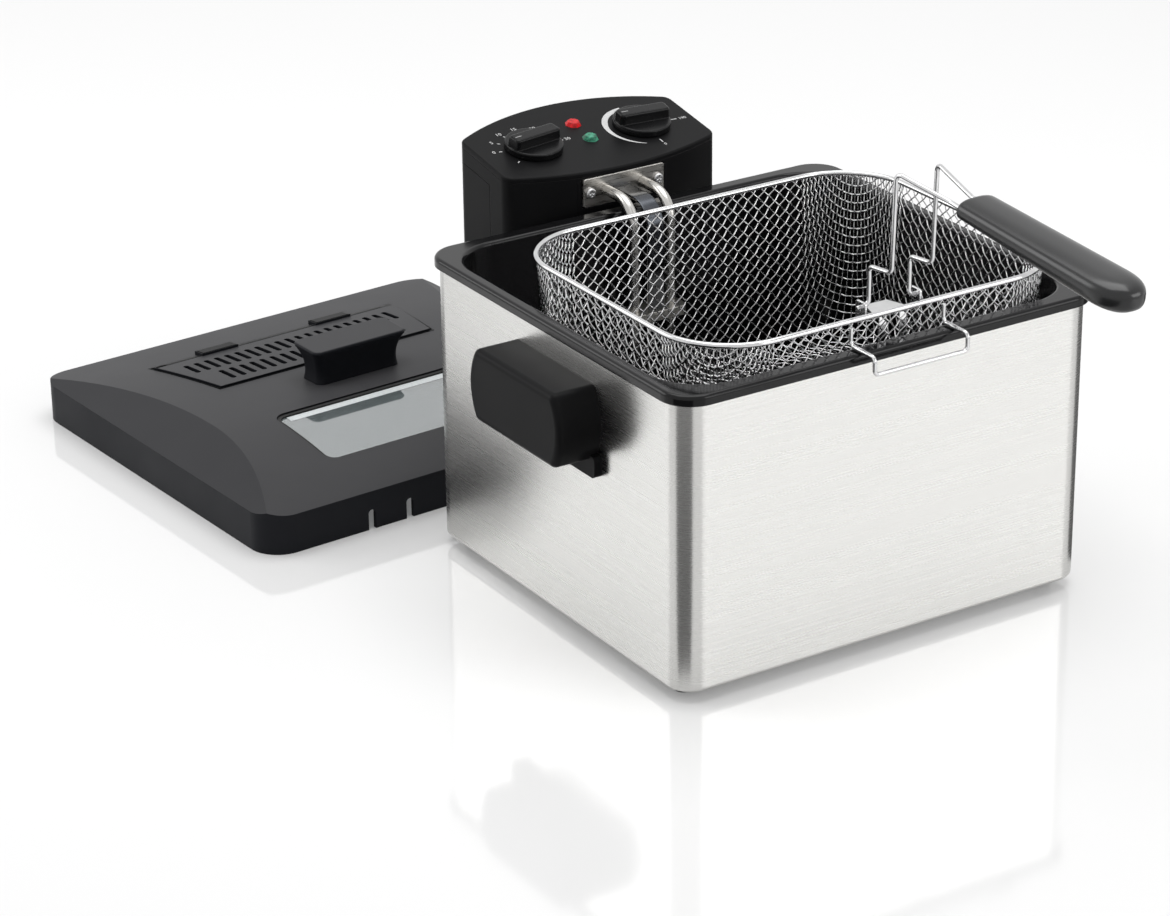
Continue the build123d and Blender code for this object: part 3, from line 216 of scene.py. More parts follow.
class Finish:
    """A procedural material: a principled shader and a few texture nodes on object coordinates."""

    def __init__(self, name):
        self.material = bpy.data.materials.new(name)
        self.material.use_nodes = True
        self.nodes = self.material.node_tree.nodes
        self.links = self.material.node_tree.links
        self.shader = self.nodes["Principled BSDF"]
        coordinates = self.nodes.new("ShaderNodeTexCoord")
        self.place = coordinates.outputs["Object"]
        self.facing = coordinates.outputs["Normal"]

    def set(self, **values):
        """Sets the shader's own sockets, named in lower case with underscores."""
        for name, value in values.items():
            self.shader.inputs[name.replace("_", " ").title().replace("Ior", "IOR")].default_value = value
        return self

    def stretched(self, scale):
        """Object coordinates stretched by a scale along each axis."""
        mapping = self.nodes.new("ShaderNodeMapping")
        mapping.inputs["Scale"].default_value = scale
        self.links.new(self.place, mapping.inputs["Vector"])
        return mapping.outputs["Vector"]

    def noise(self, scale, detail=4.0, rough=0.55, vector=None):
        """Fractal noise between about 0.25 and 0.75."""
        node = self.nodes.new("ShaderNodeTexNoise")
        node.inputs["Scale"].default_value = scale
        node.inputs["Detail"].default_value = detail
        node.inputs["Roughness"].default_value = rough
        self.links.new(vector or self.place, node.inputs["Vector"])
        return node.outputs["Fac"]

    def ramp(self, value, low, high, start=0.3, end=0.7):
        """Maps a value from start..end onto low..high."""
        node = self.nodes.new("ShaderNodeMapRange")
        node.inputs["From Min"].default_value = start
        node.inputs["From Max"].default_value = end
        node.inputs["To Min"].default_value = low
        node.inputs["To Max"].default_value = high
        self.links.new(value, node.inputs["Value"])
        return node.outputs["Result"]

    def tint(self, value, dark, light, start=0.3, end=0.7):
        """Colours the surface from dark to light as a value goes from start to end."""
        node = self.nodes.new("ShaderNodeValToRGB")
        node.color_ramp.elements[0].position = start
        node.color_ramp.elements[1].position = end
        node.color_ramp.elements[0].color = (*dark, 1)
        node.color_ramp.elements[1].color = (*light, 1)
        self.links.new(value, node.inputs["Fac"])
        self.links.new(node.outputs["Color"], self.shader.inputs["Base Color"])
        return self

    def paint_side_shade(self, colour, steep=0.75, level=0.98):
        """Paints shade on steep faces: takes them to a darker colour, and leaves those that face up as they
        are.

        Steep and level are the upward parts of the normal where the change starts and ends.
        """
        parts = self.nodes.new("ShaderNodeSeparateXYZ")
        self.links.new(self.facing, parts.inputs["Vector"])
        mix = self.nodes.new("ShaderNodeMix")
        mix.data_type = "RGBA"
        mix.inputs["A"].default_value = (*colour, 1)
        self.links.new(self.ramp(parts.outputs["Z"], 0.0, 1.0, steep, level), mix.inputs["Factor"])
        base = self.shader.inputs["Base Color"]
        self.links.new(base.links[0].from_socket, mix.inputs["B"])
        self.links.new(mix.outputs["Result"], base)
        return self

    def rough(self, value, low, high):
        """Varies the roughness between two limits with a value."""
        self.links.new(self.ramp(value, low, high), self.shader.inputs["Roughness"])
        return self

    def bump(self, value, strength, distance):
        """Raises the surface's normal with a value, over edges that are slightly rounded off."""
        node = self.nodes.new("ShaderNodeBump")
        rounded = self.nodes.new("ShaderNodeBevel")
        rounded.samples = edge_samples
        rounded.inputs["Radius"].default_value = edge_round
        self.links.new(rounded.outputs["Normal"], node.inputs["Normal"])
        node.inputs["Strength"].default_value = strength
        node.inputs["Distance"].default_value = distance
        self.links.new(value, node.inputs["Height"])
        self.links.new(node.outputs["Normal"], self.shader.inputs["Normal"])
        return self


def brushed_sheet(name, dark, light, rough, brush, relief, grain=0.0):
    """Metal sheet with fine streaks: noise stretched along the brushing direction.

    A grain above zero spreads highlights across the streaks, which run level round the upright axis.
    """
    finish = Finish(name).set(metallic=1.0, anisotropic=grain, anisotropic_rotation=0.25)
    if grain:
        tangent = finish.nodes.new("ShaderNodeTangent")
        tangent.direction_type = "RADIAL"
        tangent.axis = "Z"
        finish.links.new(tangent.outputs["Tangent"], finish.shader.inputs["Tangent"])
    streaks = finish.noise(1.0, detail=2.0, rough=0.6, vector=finish.stretched(brush))
    finish.tint(streaks, dark, light, start=0.25, end=0.75)
    finish.rough(streaks, *rough)
    if relief:
        finish.bump(streaks, relief, streak_height)
    return finish.material


def moulded_plastic(name, dark, light, rough, grain, relief, gloss=0.5, side_shade=None):
    """Moulded plastic: a fine spark-eroded grain over faint, larger flow marks.

    With a colour for the sides, steep faces get painted shade: they are painted darker than those that face
    up.
    """
    finish = Finish(name).set(specular_ior_level=gloss)
    sparks = finish.noise(grain, detail=3.0, rough=0.6)
    flow = finish.noise(flow_waves, detail=3.0)
    finish.tint(flow, dark, light)
    if side_shade:
        # painted shade: steep faces are taken to the darker side colour
        finish.paint_side_shade(side_shade)
    finish.rough(flow, *rough)
    return finish.bump(sparks, relief, grain_height).material


def plated_wire(name, colour, rough, dimming=0.86):
    """Bright plated steel: nearly smooth, with faint drawing streaks and hazier patches."""
    finish = Finish(name).set(metallic=1.0)
    haze = finish.noise(haze_waves, detail=3.0)
    dimmer = tuple(dimming * c for c in colour)
    finish.tint(haze, dimmer, colour)
    finish.rough(haze, *rough)
    drawing = finish.noise(drawing_waves, detail=2.0)
    return finish.bump(drawing, 0.05, drawing_height).material


def clear_lens(name, dark, light):
    """Coloured glossy plastic, finely mottled from a deep to a brighter shade."""
    finish = Finish(name).set(ior=1.49, roughness=0.12, specular_ior_level=0.25)
    mottle = finish.noise(lens_waves, detail=2.0)
    return finish.tint(mottle, dark, light, start=0.35, end=0.65).material


def print_and_painted_reflection(name, colour, wear=0.82):
    """Printed markings, and painted reflections: slightly uneven pale ink."""
    finish = Finish(name).set(roughness=0.5)
    worn = tuple(wear * c for c in colour)
    return finish.tint(finish.noise(ink_waves, detail=3.0), worn, colour).material


housing_steel = brushed_sheet(
    "brushed_housing_steel",
    dark=(0.585, 0.58, 0.565),
    light=(0.60, 0.595, 0.58),
    rough=(0.271, 0.275),
    brush=(1.5, 1.5, 1300),
    relief=0.0,
    grain=0.6,
)
plate_steel = brushed_sheet(
    "stainless_plate",
    dark=(0.38, 0.365, 0.34),
    light=(0.52, 0.505, 0.48),
    rough=(0.24, 0.36),
    brush=(60, 60, 1500),
    relief=0.10,
)
tube_steel = brushed_sheet(
    "drawn_tube_steel",
    dark=(0.44, 0.43, 0.41),
    light=(0.64, 0.63, 0.61),
    rough=(0.20, 0.32),
    brush=(900, 40, 40),
    relief=0.06,
)
blued_steel = brushed_sheet(
    "blued_guard_steel",
    dark=(0.045, 0.05, 0.058),
    light=(0.085, 0.09, 0.10),
    rough=(0.18, 0.28),
    brush=(40, 40, 900),
    relief=0.05,
)
zinc_steel = brushed_sheet(
    "zinc_plated_screws",
    dark=(0.48, 0.48, 0.49),
    light=(0.66, 0.66, 0.66),
    rough=(0.28, 0.42),
    brush=(500, 500, 500),
    relief=0.05,
)
black_plastic = moulded_plastic(
    "satin_black_plastic",
    dark=(0.0060, 0.0060, 0.0065),
    light=(0.0085, 0.0085, 0.009),
    rough=(0.34, 0.44),
    grain=2600.0,
    relief=0.10,
    gloss=0.06,
)
grip_plastic = moulded_plastic(
    "satin_grip_plastic",
    dark=(0.0060, 0.0062, 0.0070),
    light=(0.009, 0.0092, 0.010),
    rough=(0.20, 0.26),
    grain=2400.0,
    relief=0.05,
    gloss=0.48,
)
# Grained lid plastic whose steep sides carry painted shade, darker than its top
lid_plastic = moulded_plastic(
    "grained_lid_plastic_with_painted_side_shade",
    dark=(0.050, 0.050, 0.053),
    light=(0.060, 0.060, 0.063),
    rough=(0.42, 0.52),
    grain=1800.0,
    relief=0.16,
    gloss=0.10,
    side_shade=(0.010, 0.0107, 0.0135),
)
knob_plastic = moulded_plastic(
    "black_knob_plastic",
    dark=(0.0045, 0.0045, 0.005),
    light=(0.0075, 0.0075, 0.008),
    rough=(0.22, 0.32),
    grain=3000.0,
    relief=0.06,
    gloss=0.16,
)
white_plastic = moulded_plastic(
    "ivory_insulator",
    dark=(0.62, 0.60, 0.55),
    light=(0.74, 0.72, 0.67),
    rough=(0.40, 0.55),
    grain=1500.0,
    relief=0.10,
)
red_plastic = moulded_plastic(
    "red_button_plastic",
    dark=(0.36, 0.012, 0.010),
    light=(0.46, 0.02, 0.016),
    rough=(0.25, 0.35),
    grain=1800.0,
    relief=0.06,
)
rubber = moulded_plastic(
    "foot_rubber",
    dark=(0.008, 0.008, 0.008),
    light=(0.014, 0.014, 0.014),
    rough=(0.62, 0.80),
    grain=1300.0,
    relief=0.25,
)
filter_felt = moulded_plastic(
    "carbon_felt",
    dark=(0.010, 0.010, 0.010),
    light=(0.028, 0.028, 0.028),
    rough=(0.85, 0.98),
    grain=700.0,
    relief=0.9,
)
black_enamel = moulded_plastic(
    "glossy_black_coating",
    dark=(0.0045, 0.0045, 0.005),
    light=(0.0070, 0.0070, 0.0075),
    rough=(0.08, 0.14),
    grain=700.0,
    relief=0.03,
    gloss=0.22,
)
chrome_wire = plated_wire("plated_wire", (0.66, 0.66, 0.665), rough=(0.07, 0.17))
brass = plated_wire("contact_brass", (0.62, 0.46, 0.19), rough=(0.18, 0.30))
red_lens = clear_lens("red_lamp_lens", (0.34, 0.002, 0.004), (0.72, 0.010, 0.014))
green_lens = clear_lens("green_lamp_lens", (0.006, 0.09, 0.05), (0.06, 0.36, 0.22))
dial_ink = print_and_painted_reflection("pale_dial_ink", (0.72, 0.72, 0.72))
pointer_ink = print_and_painted_reflection("grey_pointer_ink", (0.30, 0.30, 0.30))


def window_glass():
    """Tempered glass with a dark, cool tint, a strong reflection and a little haze."""
    finish = Finish("tempered_window_glass").set(transmission_weight=0.62, ior=3.2, alpha=0.92)
    haze = finish.noise(glass_waves, detail=3.0)
    finish.tint(haze, (0.25, 0.30, 0.31), (0.29, 0.335, 0.345))
    return finish.rough(haze, 0.03, 0.06).material


glass = window_glass()
slot_finishes = {
    "housing_steel": housing_steel,
    "black_plastic": black_plastic,
    "grip_plastic": grip_plastic,
    "lid_plastic": lid_plastic,
    "knob_plastic": knob_plastic,
    "black_enamel": black_enamel,
    "chrome_wire": chrome_wire,
    "plate_steel": plate_steel,
    "tube_steel": tube_steel,
    "zinc_steel": zinc_steel,
    "rubber": rubber,
    "glass": glass,
    "white_plastic": white_plastic,
    "red_plastic": red_plastic,
    "red_lens": red_lens,
    "green_lens": green_lens,
    "brass": brass,
    "filter_felt": filter_felt,
}
for subpart in frame["record"]["subparts"]:
    node = frame["nodes"][subpart["node"]]
    node.data.materials.clear()
    node.data.materials.append(slot_finishes[subpart["material_slot"]])


def cloth_surface(across, along):
    """Where a point of the flat wire cloth goes when the cloth is pressed into the basket's shape.

    The floor is a rounded rectangle and stays flat. A point beyond its edge keeps the edge's nearest
    point, and its distance from the edge runs first round the foot's arc and then up the leaning wall.
    Gives the point, the outward normal and the distance, as arrays.
    """
    sheet = np.stack((across, along), axis=-1)
    core = cloth_floor_half - cloth_floor_corner
    inner = np.clip(sheet, -core, core)
    away = sheet - inner
    length = np.linalg.norm(away, axis=-1)
    outward = away / np.maximum(length, 1e-9)[..., None]
    distance = length - cloth_floor_corner
    turn_end = pi / 2 - cloth_lean
    arc_end = cloth_foot_round * turn_end
    turn = np.clip(distance / cloth_foot_round, 0, turn_end)
    wall = np.maximum(distance - arc_end, 0)
    spread = cloth_foot_round * np.sin(turn) + wall * np.cos(turn_end)
    height = cloth_foot_round * (1 - np.cos(turn)) + wall * np.sin(turn_end)
    edge = inner + outward * np.minimum(length, cloth_floor_corner)[..., None]
    plan = edge + outward * spread[..., None] + cloth_middle
    points = np.concatenate((plan, (cloth_floor + height)[..., None]), axis=-1)
    normal = np.concatenate((outward * np.sin(turn)[..., None], -np.cos(turn)[..., None]), axis=-1)
    return points, normal, distance


def cloth_wires(name, lean):
    """One family of the cloth's wires: lines at 45 degrees in the flat cloth, waving over and under.

    A line keeps x + lean * y at a whole number of pitches. Along it the wire's offset from the cloth is
    a cosine that changes sign at every crossing, and the other family takes the opposite sign.
    """
    limit = float(np.sum(cloth_floor_half) + 2 * cloth_reach)
    count = int(limit / cloth_pitch)
    lines = np.arange(-count, count + 1)
    runs = np.arange(-count * cloth_steps, count * cloth_steps + 1) / cloth_steps
    line, run = np.meshgrid(lines * 1.0, runs, indexing="ij")
    across = (line + run) * cloth_pitch / 2
    along = lean * (line - run) * cloth_pitch / 2
    points, normal, distance = cloth_surface(across, along)
    sign = np.cos(pi * (line + run)) * lean
    points = points + normal * (sign * cloth_wave)[..., None]
    tangent = np.gradient(points, axis=1)
    tangent /= np.linalg.norm(tangent, axis=-1, keepdims=True)
    side = np.cross(tangent, normal)
    side /= np.linalg.norm(side, axis=-1, keepdims=True)
    lift = np.cross(side, tangent)
    angle = np.arange(cloth_sides) * 2 * pi / cloth_sides
    rings = points[:, :, None, :] + cloth_wire * (
        np.cos(angle)[:, None] * lift[:, :, None, :] + np.sin(angle)[:, None] * side[:, :, None, :]
    )
    kept = distance <= cloth_reach
    number = np.full(kept.shape, -1)
    number[kept] = np.arange(kept.sum())
    start, stop = number[:, :-1], number[:, 1:]
    joined = (start >= 0) & (stop >= 0)
    corner = np.arange(cloth_sides)
    following = np.roll(corner, -1)
    first = start[joined][:, None] * cloth_sides
    second = stop[joined][:, None] * cloth_sides
    walls = np.stack((first + corner, first + following, second + following, second + corner), axis=-1)
    before = np.pad(kept, ((0, 0), (1, 0)))[:, :-1]
    after = np.pad(kept, ((0, 0), (0, 1)))[:, 1:]
    heads = number[kept & ~before & after][:, None] * cloth_sides + corner[::-1]
    tails = number[kept & ~after & before][:, None] * cloth_sides + corner
    faces = np.concatenate((walls.reshape(-1, 4), heads, tails))
    return new_piece(name, rings[kept].reshape(-1, 3) * MM, faces, "basket", chrome_wire)


basket_warp = cloth_wires("basket_warp", 1)
basket_weft = cloth_wires("basket_weft", -1)
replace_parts(basket_warp, "basket_mesh")
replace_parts(basket_weft, "basket_mesh")


def on_head(flat, lift):
    """Points of the head's tilted top from flat millimetre points and a lift above the top."""
    flat = np.asarray(flat, dtype=float)
    return head_origin + MM * (
        flat[:, :1] * head_right + flat[:, 1:2] * head_back + lift * head_up
    )


def figure_mesh(text, size):
    """A line of figures as flat points and triangles, centred on the origin."""
    curve = bpy.data.curves.new("figures", "FONT")
    curve.body = text
    curve.size = size
    curve.align_x = "CENTER"
    curve.align_y = "CENTER"
    curve.resolution_u = 3
    writing = bpy.data.objects.new("figures", curve)
    mesh = bpy.data.meshes.new_from_object(writing)
    mesh.calc_loop_triangles()
    points = np.zeros(len(mesh.vertices) * 3)
    mesh.vertices.foreach_get("co", points)
    triangles = np.zeros(len(mesh.loop_triangles) * 3, dtype=int)
    mesh.loop_triangles.foreach_get("vertices", triangles)
    bpy.data.objects.remove(writing)
    bpy.data.curves.remove(curve)
    bpy.data.meshes.remove(mesh)
    return points.reshape(-1, 3)[:, :2], triangles.reshape(-1, 3)


def ring_band(inner, outer, angles):
    """A flat band between two radii, each given at every angle: a grid of radius against angle."""
    turn = np.radians(angles)
    arms = np.stack((np.cos(turn), np.sin(turn)), axis=-1)
    points = np.concatenate((arms * np.asarray(inner)[:, None], arms * np.asarray(outer)[:, None]))
    count = len(angles)
    step = np.arange(count - 1)
    lower = np.stack((step, step + 1, step + 1 + count), axis=-1)
    upper = np.stack((step, step + 1 + count, step + count), axis=-1)
    faces = np.concatenate((lower, upper))
    flat = points[faces]
    across = flat[:, 1] - flat[:, 0]
    along = flat[:, 2] - flat[:, 0]
    turned = across[:, 0] * along[:, 1] - across[:, 1] * along[:, 0] < 0
    faces[turned] = faces[turned][:, ::-1]
    return points, faces


def radial_tick(angle, inner, outer, width):
    """A short bar that points away from a dial's middle."""
    turn = radians(angle)
    arm = np.array((cos(turn), sin(turn)))
    off = np.array((-sin(turn), cos(turn))) * width / 2
    points = np.array((arm * inner + off, arm * inner - off, arm * outer - off, arm * outer + off))
    return points, np.array(((0, 1, 2), (0, 2, 3)))


def dial_scale(name, spot, shapes):
    """Flat printed shapes round a dial, joined into one piece just above the head's top."""
    points, faces, total = [], [], 0
    for flat, triangles in shapes:
        points.append(on_head(flat + np.asarray(spot), mark_lift))
        faces.append(triangles + total)
        total += len(flat)
    return new_piece(
        name,
        np.concatenate(points),
        np.concatenate(faces),
        "head",
        dial_ink,
        smooth=False,
        sheet=mark_sheet,
    )


def placed_figures(text, size, angle, radius):
    """Figures centred at an angle and a radius round a dial."""
    flat, triangles = figure_mesh(text, size)
    turn = radians(angle)
    return flat + radius * np.array((cos(turn), sin(turn))), triangles


timer_angles = np.linspace(timer_first_angle, timer_last_angle, len(timer_minutes))
timer_shapes = [
    placed_figures(text, timer_figure, angle, timer_figure_radius)
    for text, angle in zip(timer_minutes, timer_angles)
]
timer_shapes += [radial_tick(angle, *timer_tick, tick_width) for angle in (*timer_angles, timer_stay_angle)]
dial_scale("timer_scale", timer_spot, timer_shapes)

heat_angles = np.linspace(heat_first_angle, heat_last_angle, heat_steps)
heat_share = np.clip((heat_first_angle - heat_angles) / heat_widening, 0, 1)
heat_inner = heat_radius - (heat_thin + heat_growth * heat_share)
heat_shapes = [ring_band(heat_inner, np.full(heat_steps, heat_radius), heat_angles)]
heat_shapes += [radial_tick(angle, *heat_tick, tick_width) for angle in heat_tick_angles]
heat_shapes += [placed_figures(text, heat_figure, angle, radius) for text, angle, radius in heat_figures]
dial_scale("thermostat_scale", thermostat_spot, heat_shapes)


def pointer_mark(name, body, spot, angle):
    """A pale line let into the pointing end of a knob's bar: a thin strip along the bar's top."""
    turn = radians(angle)
    arm = np.array((cos(turn), sin(turn)))
    off = np.array((-sin(turn), cos(turn))) * pointer_half_width
    count = 8
    reach = np.linspace(pointer_inner, pointer_outer, count)[:, None]
    left = reach * arm + off
    right = reach * arm - off
    flat = np.concatenate((left, right)) + np.asarray(spot)
    step = np.arange(count - 1)
    faces = np.stack((step, step + count, step + count + 1, step + 1), axis=-1)
    points = on_head(flat, pointer_lift)
    return new_piece(
        name, points, faces, body, pointer_ink, smooth=False, sheet=mark_sheet
    )


pointer_mark("timer_pointer", "timer", timer_spot, timer_pointer_angle)
pointer_mark("thermostat_pointer", "thermostat", thermostat_spot, thermostat_pointer_angle)


def grid_faces(rows, columns):
    """Four-sided faces between the points of a grid, row by row."""
    corner = (np.arange(rows - 1)[:, None] * columns + np.arange(columns - 1)).reshape(-1)
    return np.stack((corner, corner + 1, corner + columns + 1, corner + columns), axis=-1)


def ring_walls(rows, columns):
    """Four-sided faces between rows of closed rings that follow each other along a path."""
    column = np.arange(columns)
    following = np.roll(column, -1)
    first = np.arange(rows - 1)[:, None] * columns
    second = first + columns
    walls = np.stack((first + column, first + following, second + following, second + column), axis=-1)
    return walls.reshape(-1, 4)


def superellipse(columns, power):
    """The two sides of a round section that a smaller power squares off, at even angles round it."""
    angle = np.arange(columns) * 2 * pi / columns
    flat = np.sign(np.cos(angle)) * np.abs(np.cos(angle)) ** power
    tall = np.sign(np.sin(angle)) * np.abs(np.sin(angle)) ** power
    return flat, tall


def rounded_end(run, length, power):
    """How a bar closes towards its end: one at the end's start, falling to zero like a superellipse."""
    return (1 - np.clip(run / length, 0, 1) ** power) ** (1 / power)


def grip_surface(name):
    """The basket's grip: a superellipse section swept along the grip, deeper and rounder towards its tip.

    A grid of length along the grip against angle round it. Width and depth close at both ends.
    """
    rows, columns = 90, 64
    run = grip_length * (1 - np.cos(np.linspace(0, pi, rows + 2)[1:-1])) / 2
    share = run / grip_length
    tip = run - grip_length + grip_tip_run
    root = grip_root_run - run
    root_end = rounded_end(root, grip_root_run, grip_root_power)
    narrowing = rounded_end(tip, grip_tip_run, grip_width_power) * root_end
    closing = rounded_end(tip, grip_tip_run, grip_depth_power) * root_end
    width = grip_half_width * (grip_root_width + (1 - grip_root_width) * share) * narrowing
    above = grip_half_thickness * (grip_root_above + (1 - grip_root_above) * share) * closing
    below = grip_half_thickness * (grip_root_below + (1 - grip_root_below) * share) * closing
    flat, tall = superellipse(columns, grip_squareness)
    across = width[:, None] * flat
    height = np.where(tall > 0, above[:, None] * tall, below[:, None] * tall)
    ahead = np.array((0.0, -cos(grip_tilt), -sin(grip_tilt)))
    upward = np.array((0.0, -sin(grip_tilt), cos(grip_tilt)))
    rings = (
        grip_back
        + run[:, None, None] * ahead
        + across[..., None] * np.array((1.0, 0.0, 0.0))
        + height[..., None] * upward
    ).reshape(-1, 3)
    poles = np.stack((grip_back, grip_back + grip_length * ahead))
    points = np.concatenate((rings, poles)) * MM
    column = np.arange(columns)
    following = np.roll(column, -1)
    last = (rows - 1) * columns
    root_fan = np.stack((following, column, np.full(columns, rows * columns)), axis=-1)
    tip_fan = np.stack((last + column, last + following, np.full(columns, rows * columns + 1)), axis=-1)
    faces = ring_walls(rows, columns).tolist() + root_fan.tolist() + tip_fan.tolist()
    return new_piece(name, points, faces, "basket_handle", grip_plastic)


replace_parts(grip_surface("grip_surface"), "handle_grip")


def guard_strip(name):
    """The probe's guard: a flat section with soft edges swept level, round one bend and straight down.

    A grid of length along the strip against angle round its section. The turn grows from level to
    upright along the bend's quarter circle, and each end is one flat face.
    """
    columns, bend_steps = 48, 25
    turn = np.concatenate(([0.0], np.linspace(0, pi / 2, bend_steps), [pi / 2]))
    y = guard_drop_y + guard_bend * (1 - np.sin(turn))
    z = guard_level - guard_bend * (1 - np.cos(turn))
    y[0] = guard_start_y
    z[-1] = guard_foot
    middle = np.stack((np.zeros(len(turn)), y, z), axis=-1)
    outward = np.stack((np.zeros(len(turn)), -np.sin(turn), np.cos(turn)), axis=-1)
    flat, tall = superellipse(columns, guard_squareness)
    rings = (
        middle[:, None]
        + guard_half_width * flat[:, None] * np.array((1.0, 0.0, 0.0))
        + guard_half_sheet * tall[:, None] * outward[:, None]
    )
    column = np.arange(columns)
    last = (len(turn) - 1) * columns
    ends = [column[::-1].tolist(), (last + column).tolist()]
    faces = ring_walls(len(turn), columns).tolist() + ends
    return new_piece(name, rings.reshape(-1, 3) * MM, faces, "head", blued_steel)


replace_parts(guard_strip("guard_strip"), "probe_guard")


def on_lid(across, along, inset, lift):
    """Points over the lid's arched top from places in the lid's own plan, in millimetres.

    The arch falls from its crest along one circle to the front and a wider one to the back.
    """
    run = np.where(along < lid_crest_y, lid_front_run, lid_back_run) - inset
    radius = (run**2 + lid_arch_drop**2) / (2 * lid_arch_drop)
    fall = radius - np.sqrt(radius**2 - (along - lid_crest_y) ** 2)
    x = lid_spot[0] + across * cos(lid_turn) - along * sin(lid_turn)
    y = lid_spot[1] + across * sin(lid_turn) + along * cos(lid_turn)
    return MM * np.stack((x, y, lid_crest - inset - fall + lift), axis=-1)


def lid_patch(name, middle, size, inset, lift, body, material):
    """A thin rectangle that follows the lid's arch: a grid of width against length."""
    rows, columns = 12, 24
    along, across = np.meshgrid(
        middle[1] + np.linspace(-size[1], size[1], rows) / 2,
        middle[0] + np.linspace(-size[0], size[0], columns) / 2,
        indexing="ij",
    )
    points = on_lid(across, along, inset, lift).reshape(-1, 3)
    return new_piece(name, points, grid_faces(rows, columns), body, material, sheet=mark_sheet)


def seam_painted_shade(name):
    """Painted shade of the groove round the filter cover: a dark band between two outlines of its trapezoid.

    A grid of distance along the closed outline against the two margins, laid on the lid's arch. The
    outer margin is wider behind the cover.
    """
    count = 160
    margins = np.array((seam_inner, seam_outer))[:, None]
    behind = np.array((seam_inner, seam_behind))[:, None]
    side = np.array((-1.0, 1.0, 1.0, -1.0, -1.0))
    at_back = np.array((1.0, 1.0, 0.0, 0.0, 1.0))
    corner_x = side * (np.where(at_back, cover_half_back, cover_half_front) + margins)
    corner_y = np.where(at_back, cover_back_y + behind, cover_front_y - margins)
    corner = np.arange(len(side))
    place = np.arange(count) * 4 / count
    across = np.stack([np.interp(place, corner, row) for row in corner_x])
    along = np.stack([np.interp(place, corner, row) for row in corner_y])
    points = on_lid(across, along, 0.0, mark_lift).reshape(-1, 3)
    faces = ring_walls(2, count)[:, ::-1]
    # painted shade: black plastic laid flat where the groove round the cover is in shade
    return new_piece(name, points, faces, "lid", black_plastic, sheet=mark_sheet)


# Painted reflection: a pale strip on the window's glass that stands for the bright reflection along it
reflection_ink = print_and_painted_reflection("painted_glass_reflection", (0.78, 0.82, 0.83))
reflection_middle = (0, window_reflection_y)
lid_patch(
    "window_painted_reflection", reflection_middle, window_reflection_size, window_drop, window_reflection_lift, "lid", reflection_ink
)
for name, middle, size, rise in (
    ("cover_tab_left", (-tab_spot[0], tab_spot[1]), tab_size, tab_rise),
    ("cover_tab_right", tab_spot, tab_size, tab_rise),
    ("cover_back_line", (0, cover_line_y), cover_line_size, cover_rise),
):
    lid_patch(name, middle, size, -rise, mark_lift, "filter_door", black_plastic)
seam_painted_shade("seam_painted_shade")


def seen_directly(nodes, links):
    """One for what the camera sees itself, in metal or through glass, and zero for what only lights."""
    path = nodes.new("ShaderNodeLightPath")
    first = nodes.new("ShaderNodeMath")
    first.operation = "MAXIMUM"
    links.new(path.outputs["Is Camera Ray"], first.inputs[0])
    links.new(path.outputs["Is Transmission Ray"], first.inputs[1])
    second = nodes.new("ShaderNodeMath")
    second.operation = "MAXIMUM"
    links.new(first.outputs["Value"], second.inputs[0])
    links.new(path.outputs["Is Glossy Ray"], second.inputs[1])
    return second.outputs["Value"]


def studio_floor():
    """A wide pale floor: matt white with a thin gloss, lifted to white for the camera."""
    material = bpy.data.materials.new("studio_floor")
    material.use_nodes = True
    nodes, links = material.node_tree.nodes, material.node_tree.links
    shader = nodes["Principled BSDF"]
    shader.inputs["Base Color"].default_value = (0.80, 0.80, 0.80, 1)
    shader.inputs["Roughness"].default_value = 0.08
    shader.inputs["Specular IOR Level"].default_value = 1.0
    glow = nodes.new("ShaderNodeEmission")
    lift = nodes.new("ShaderNodeMath")
    lift.operation = "MULTIPLY"
    lift.inputs[1].default_value = floor_lift
    links.new(seen_directly(nodes, links), lift.inputs[0])
    links.new(lift.outputs["Value"], glow.inputs["Strength"])
    both = nodes.new("ShaderNodeAddShader")
    links.new(shader.outputs["BSDF"], both.inputs[0])
    links.new(glow.outputs["Emission"], both.inputs[1])
    links.new(both.outputs["Shader"], nodes["Material Output"].inputs["Surface"])
    mesh = bpy.data.meshes.new("floor")
    reach = floor_reach
    corners = [(-reach, -reach, 0), (reach, -reach, 0), (reach, reach, 0), (-reach, reach, 0)]
    mesh.from_pydata(corners, [], [(0, 1, 2, 3)])
    mesh.materials.append(material)
    floor = bpy.data.objects.new("floor", mesh)
    bpy.context.scene.collection.objects.link(floor)


def flag_cloth():
    """Dark cloth that shows on its upper side only."""
    material = bpy.data.materials.new("flag_cloth")
    material.use_nodes = True
    nodes, links = material.node_tree.nodes, material.node_tree.links
    nodes["Principled BSDF"].inputs["Base Color"].default_value = (0.10, 0.10, 0.10, 1)
    nodes["Principled BSDF"].inputs["Roughness"].default_value = 1.0
    side = nodes.new("ShaderNodeNewGeometry")
    clear = nodes.new("ShaderNodeBsdfTransparent")
    mix = nodes.new("ShaderNodeMixShader")
    links.new(side.outputs["Backfacing"], mix.inputs["Fac"])
    links.new(nodes["Principled BSDF"].outputs["BSDF"], mix.inputs[1])
    links.new(clear.outputs["BSDF"], mix.inputs[2])
    links.new(mix.outputs["Shader"], nodes["Material Output"].inputs["Surface"])
    return material


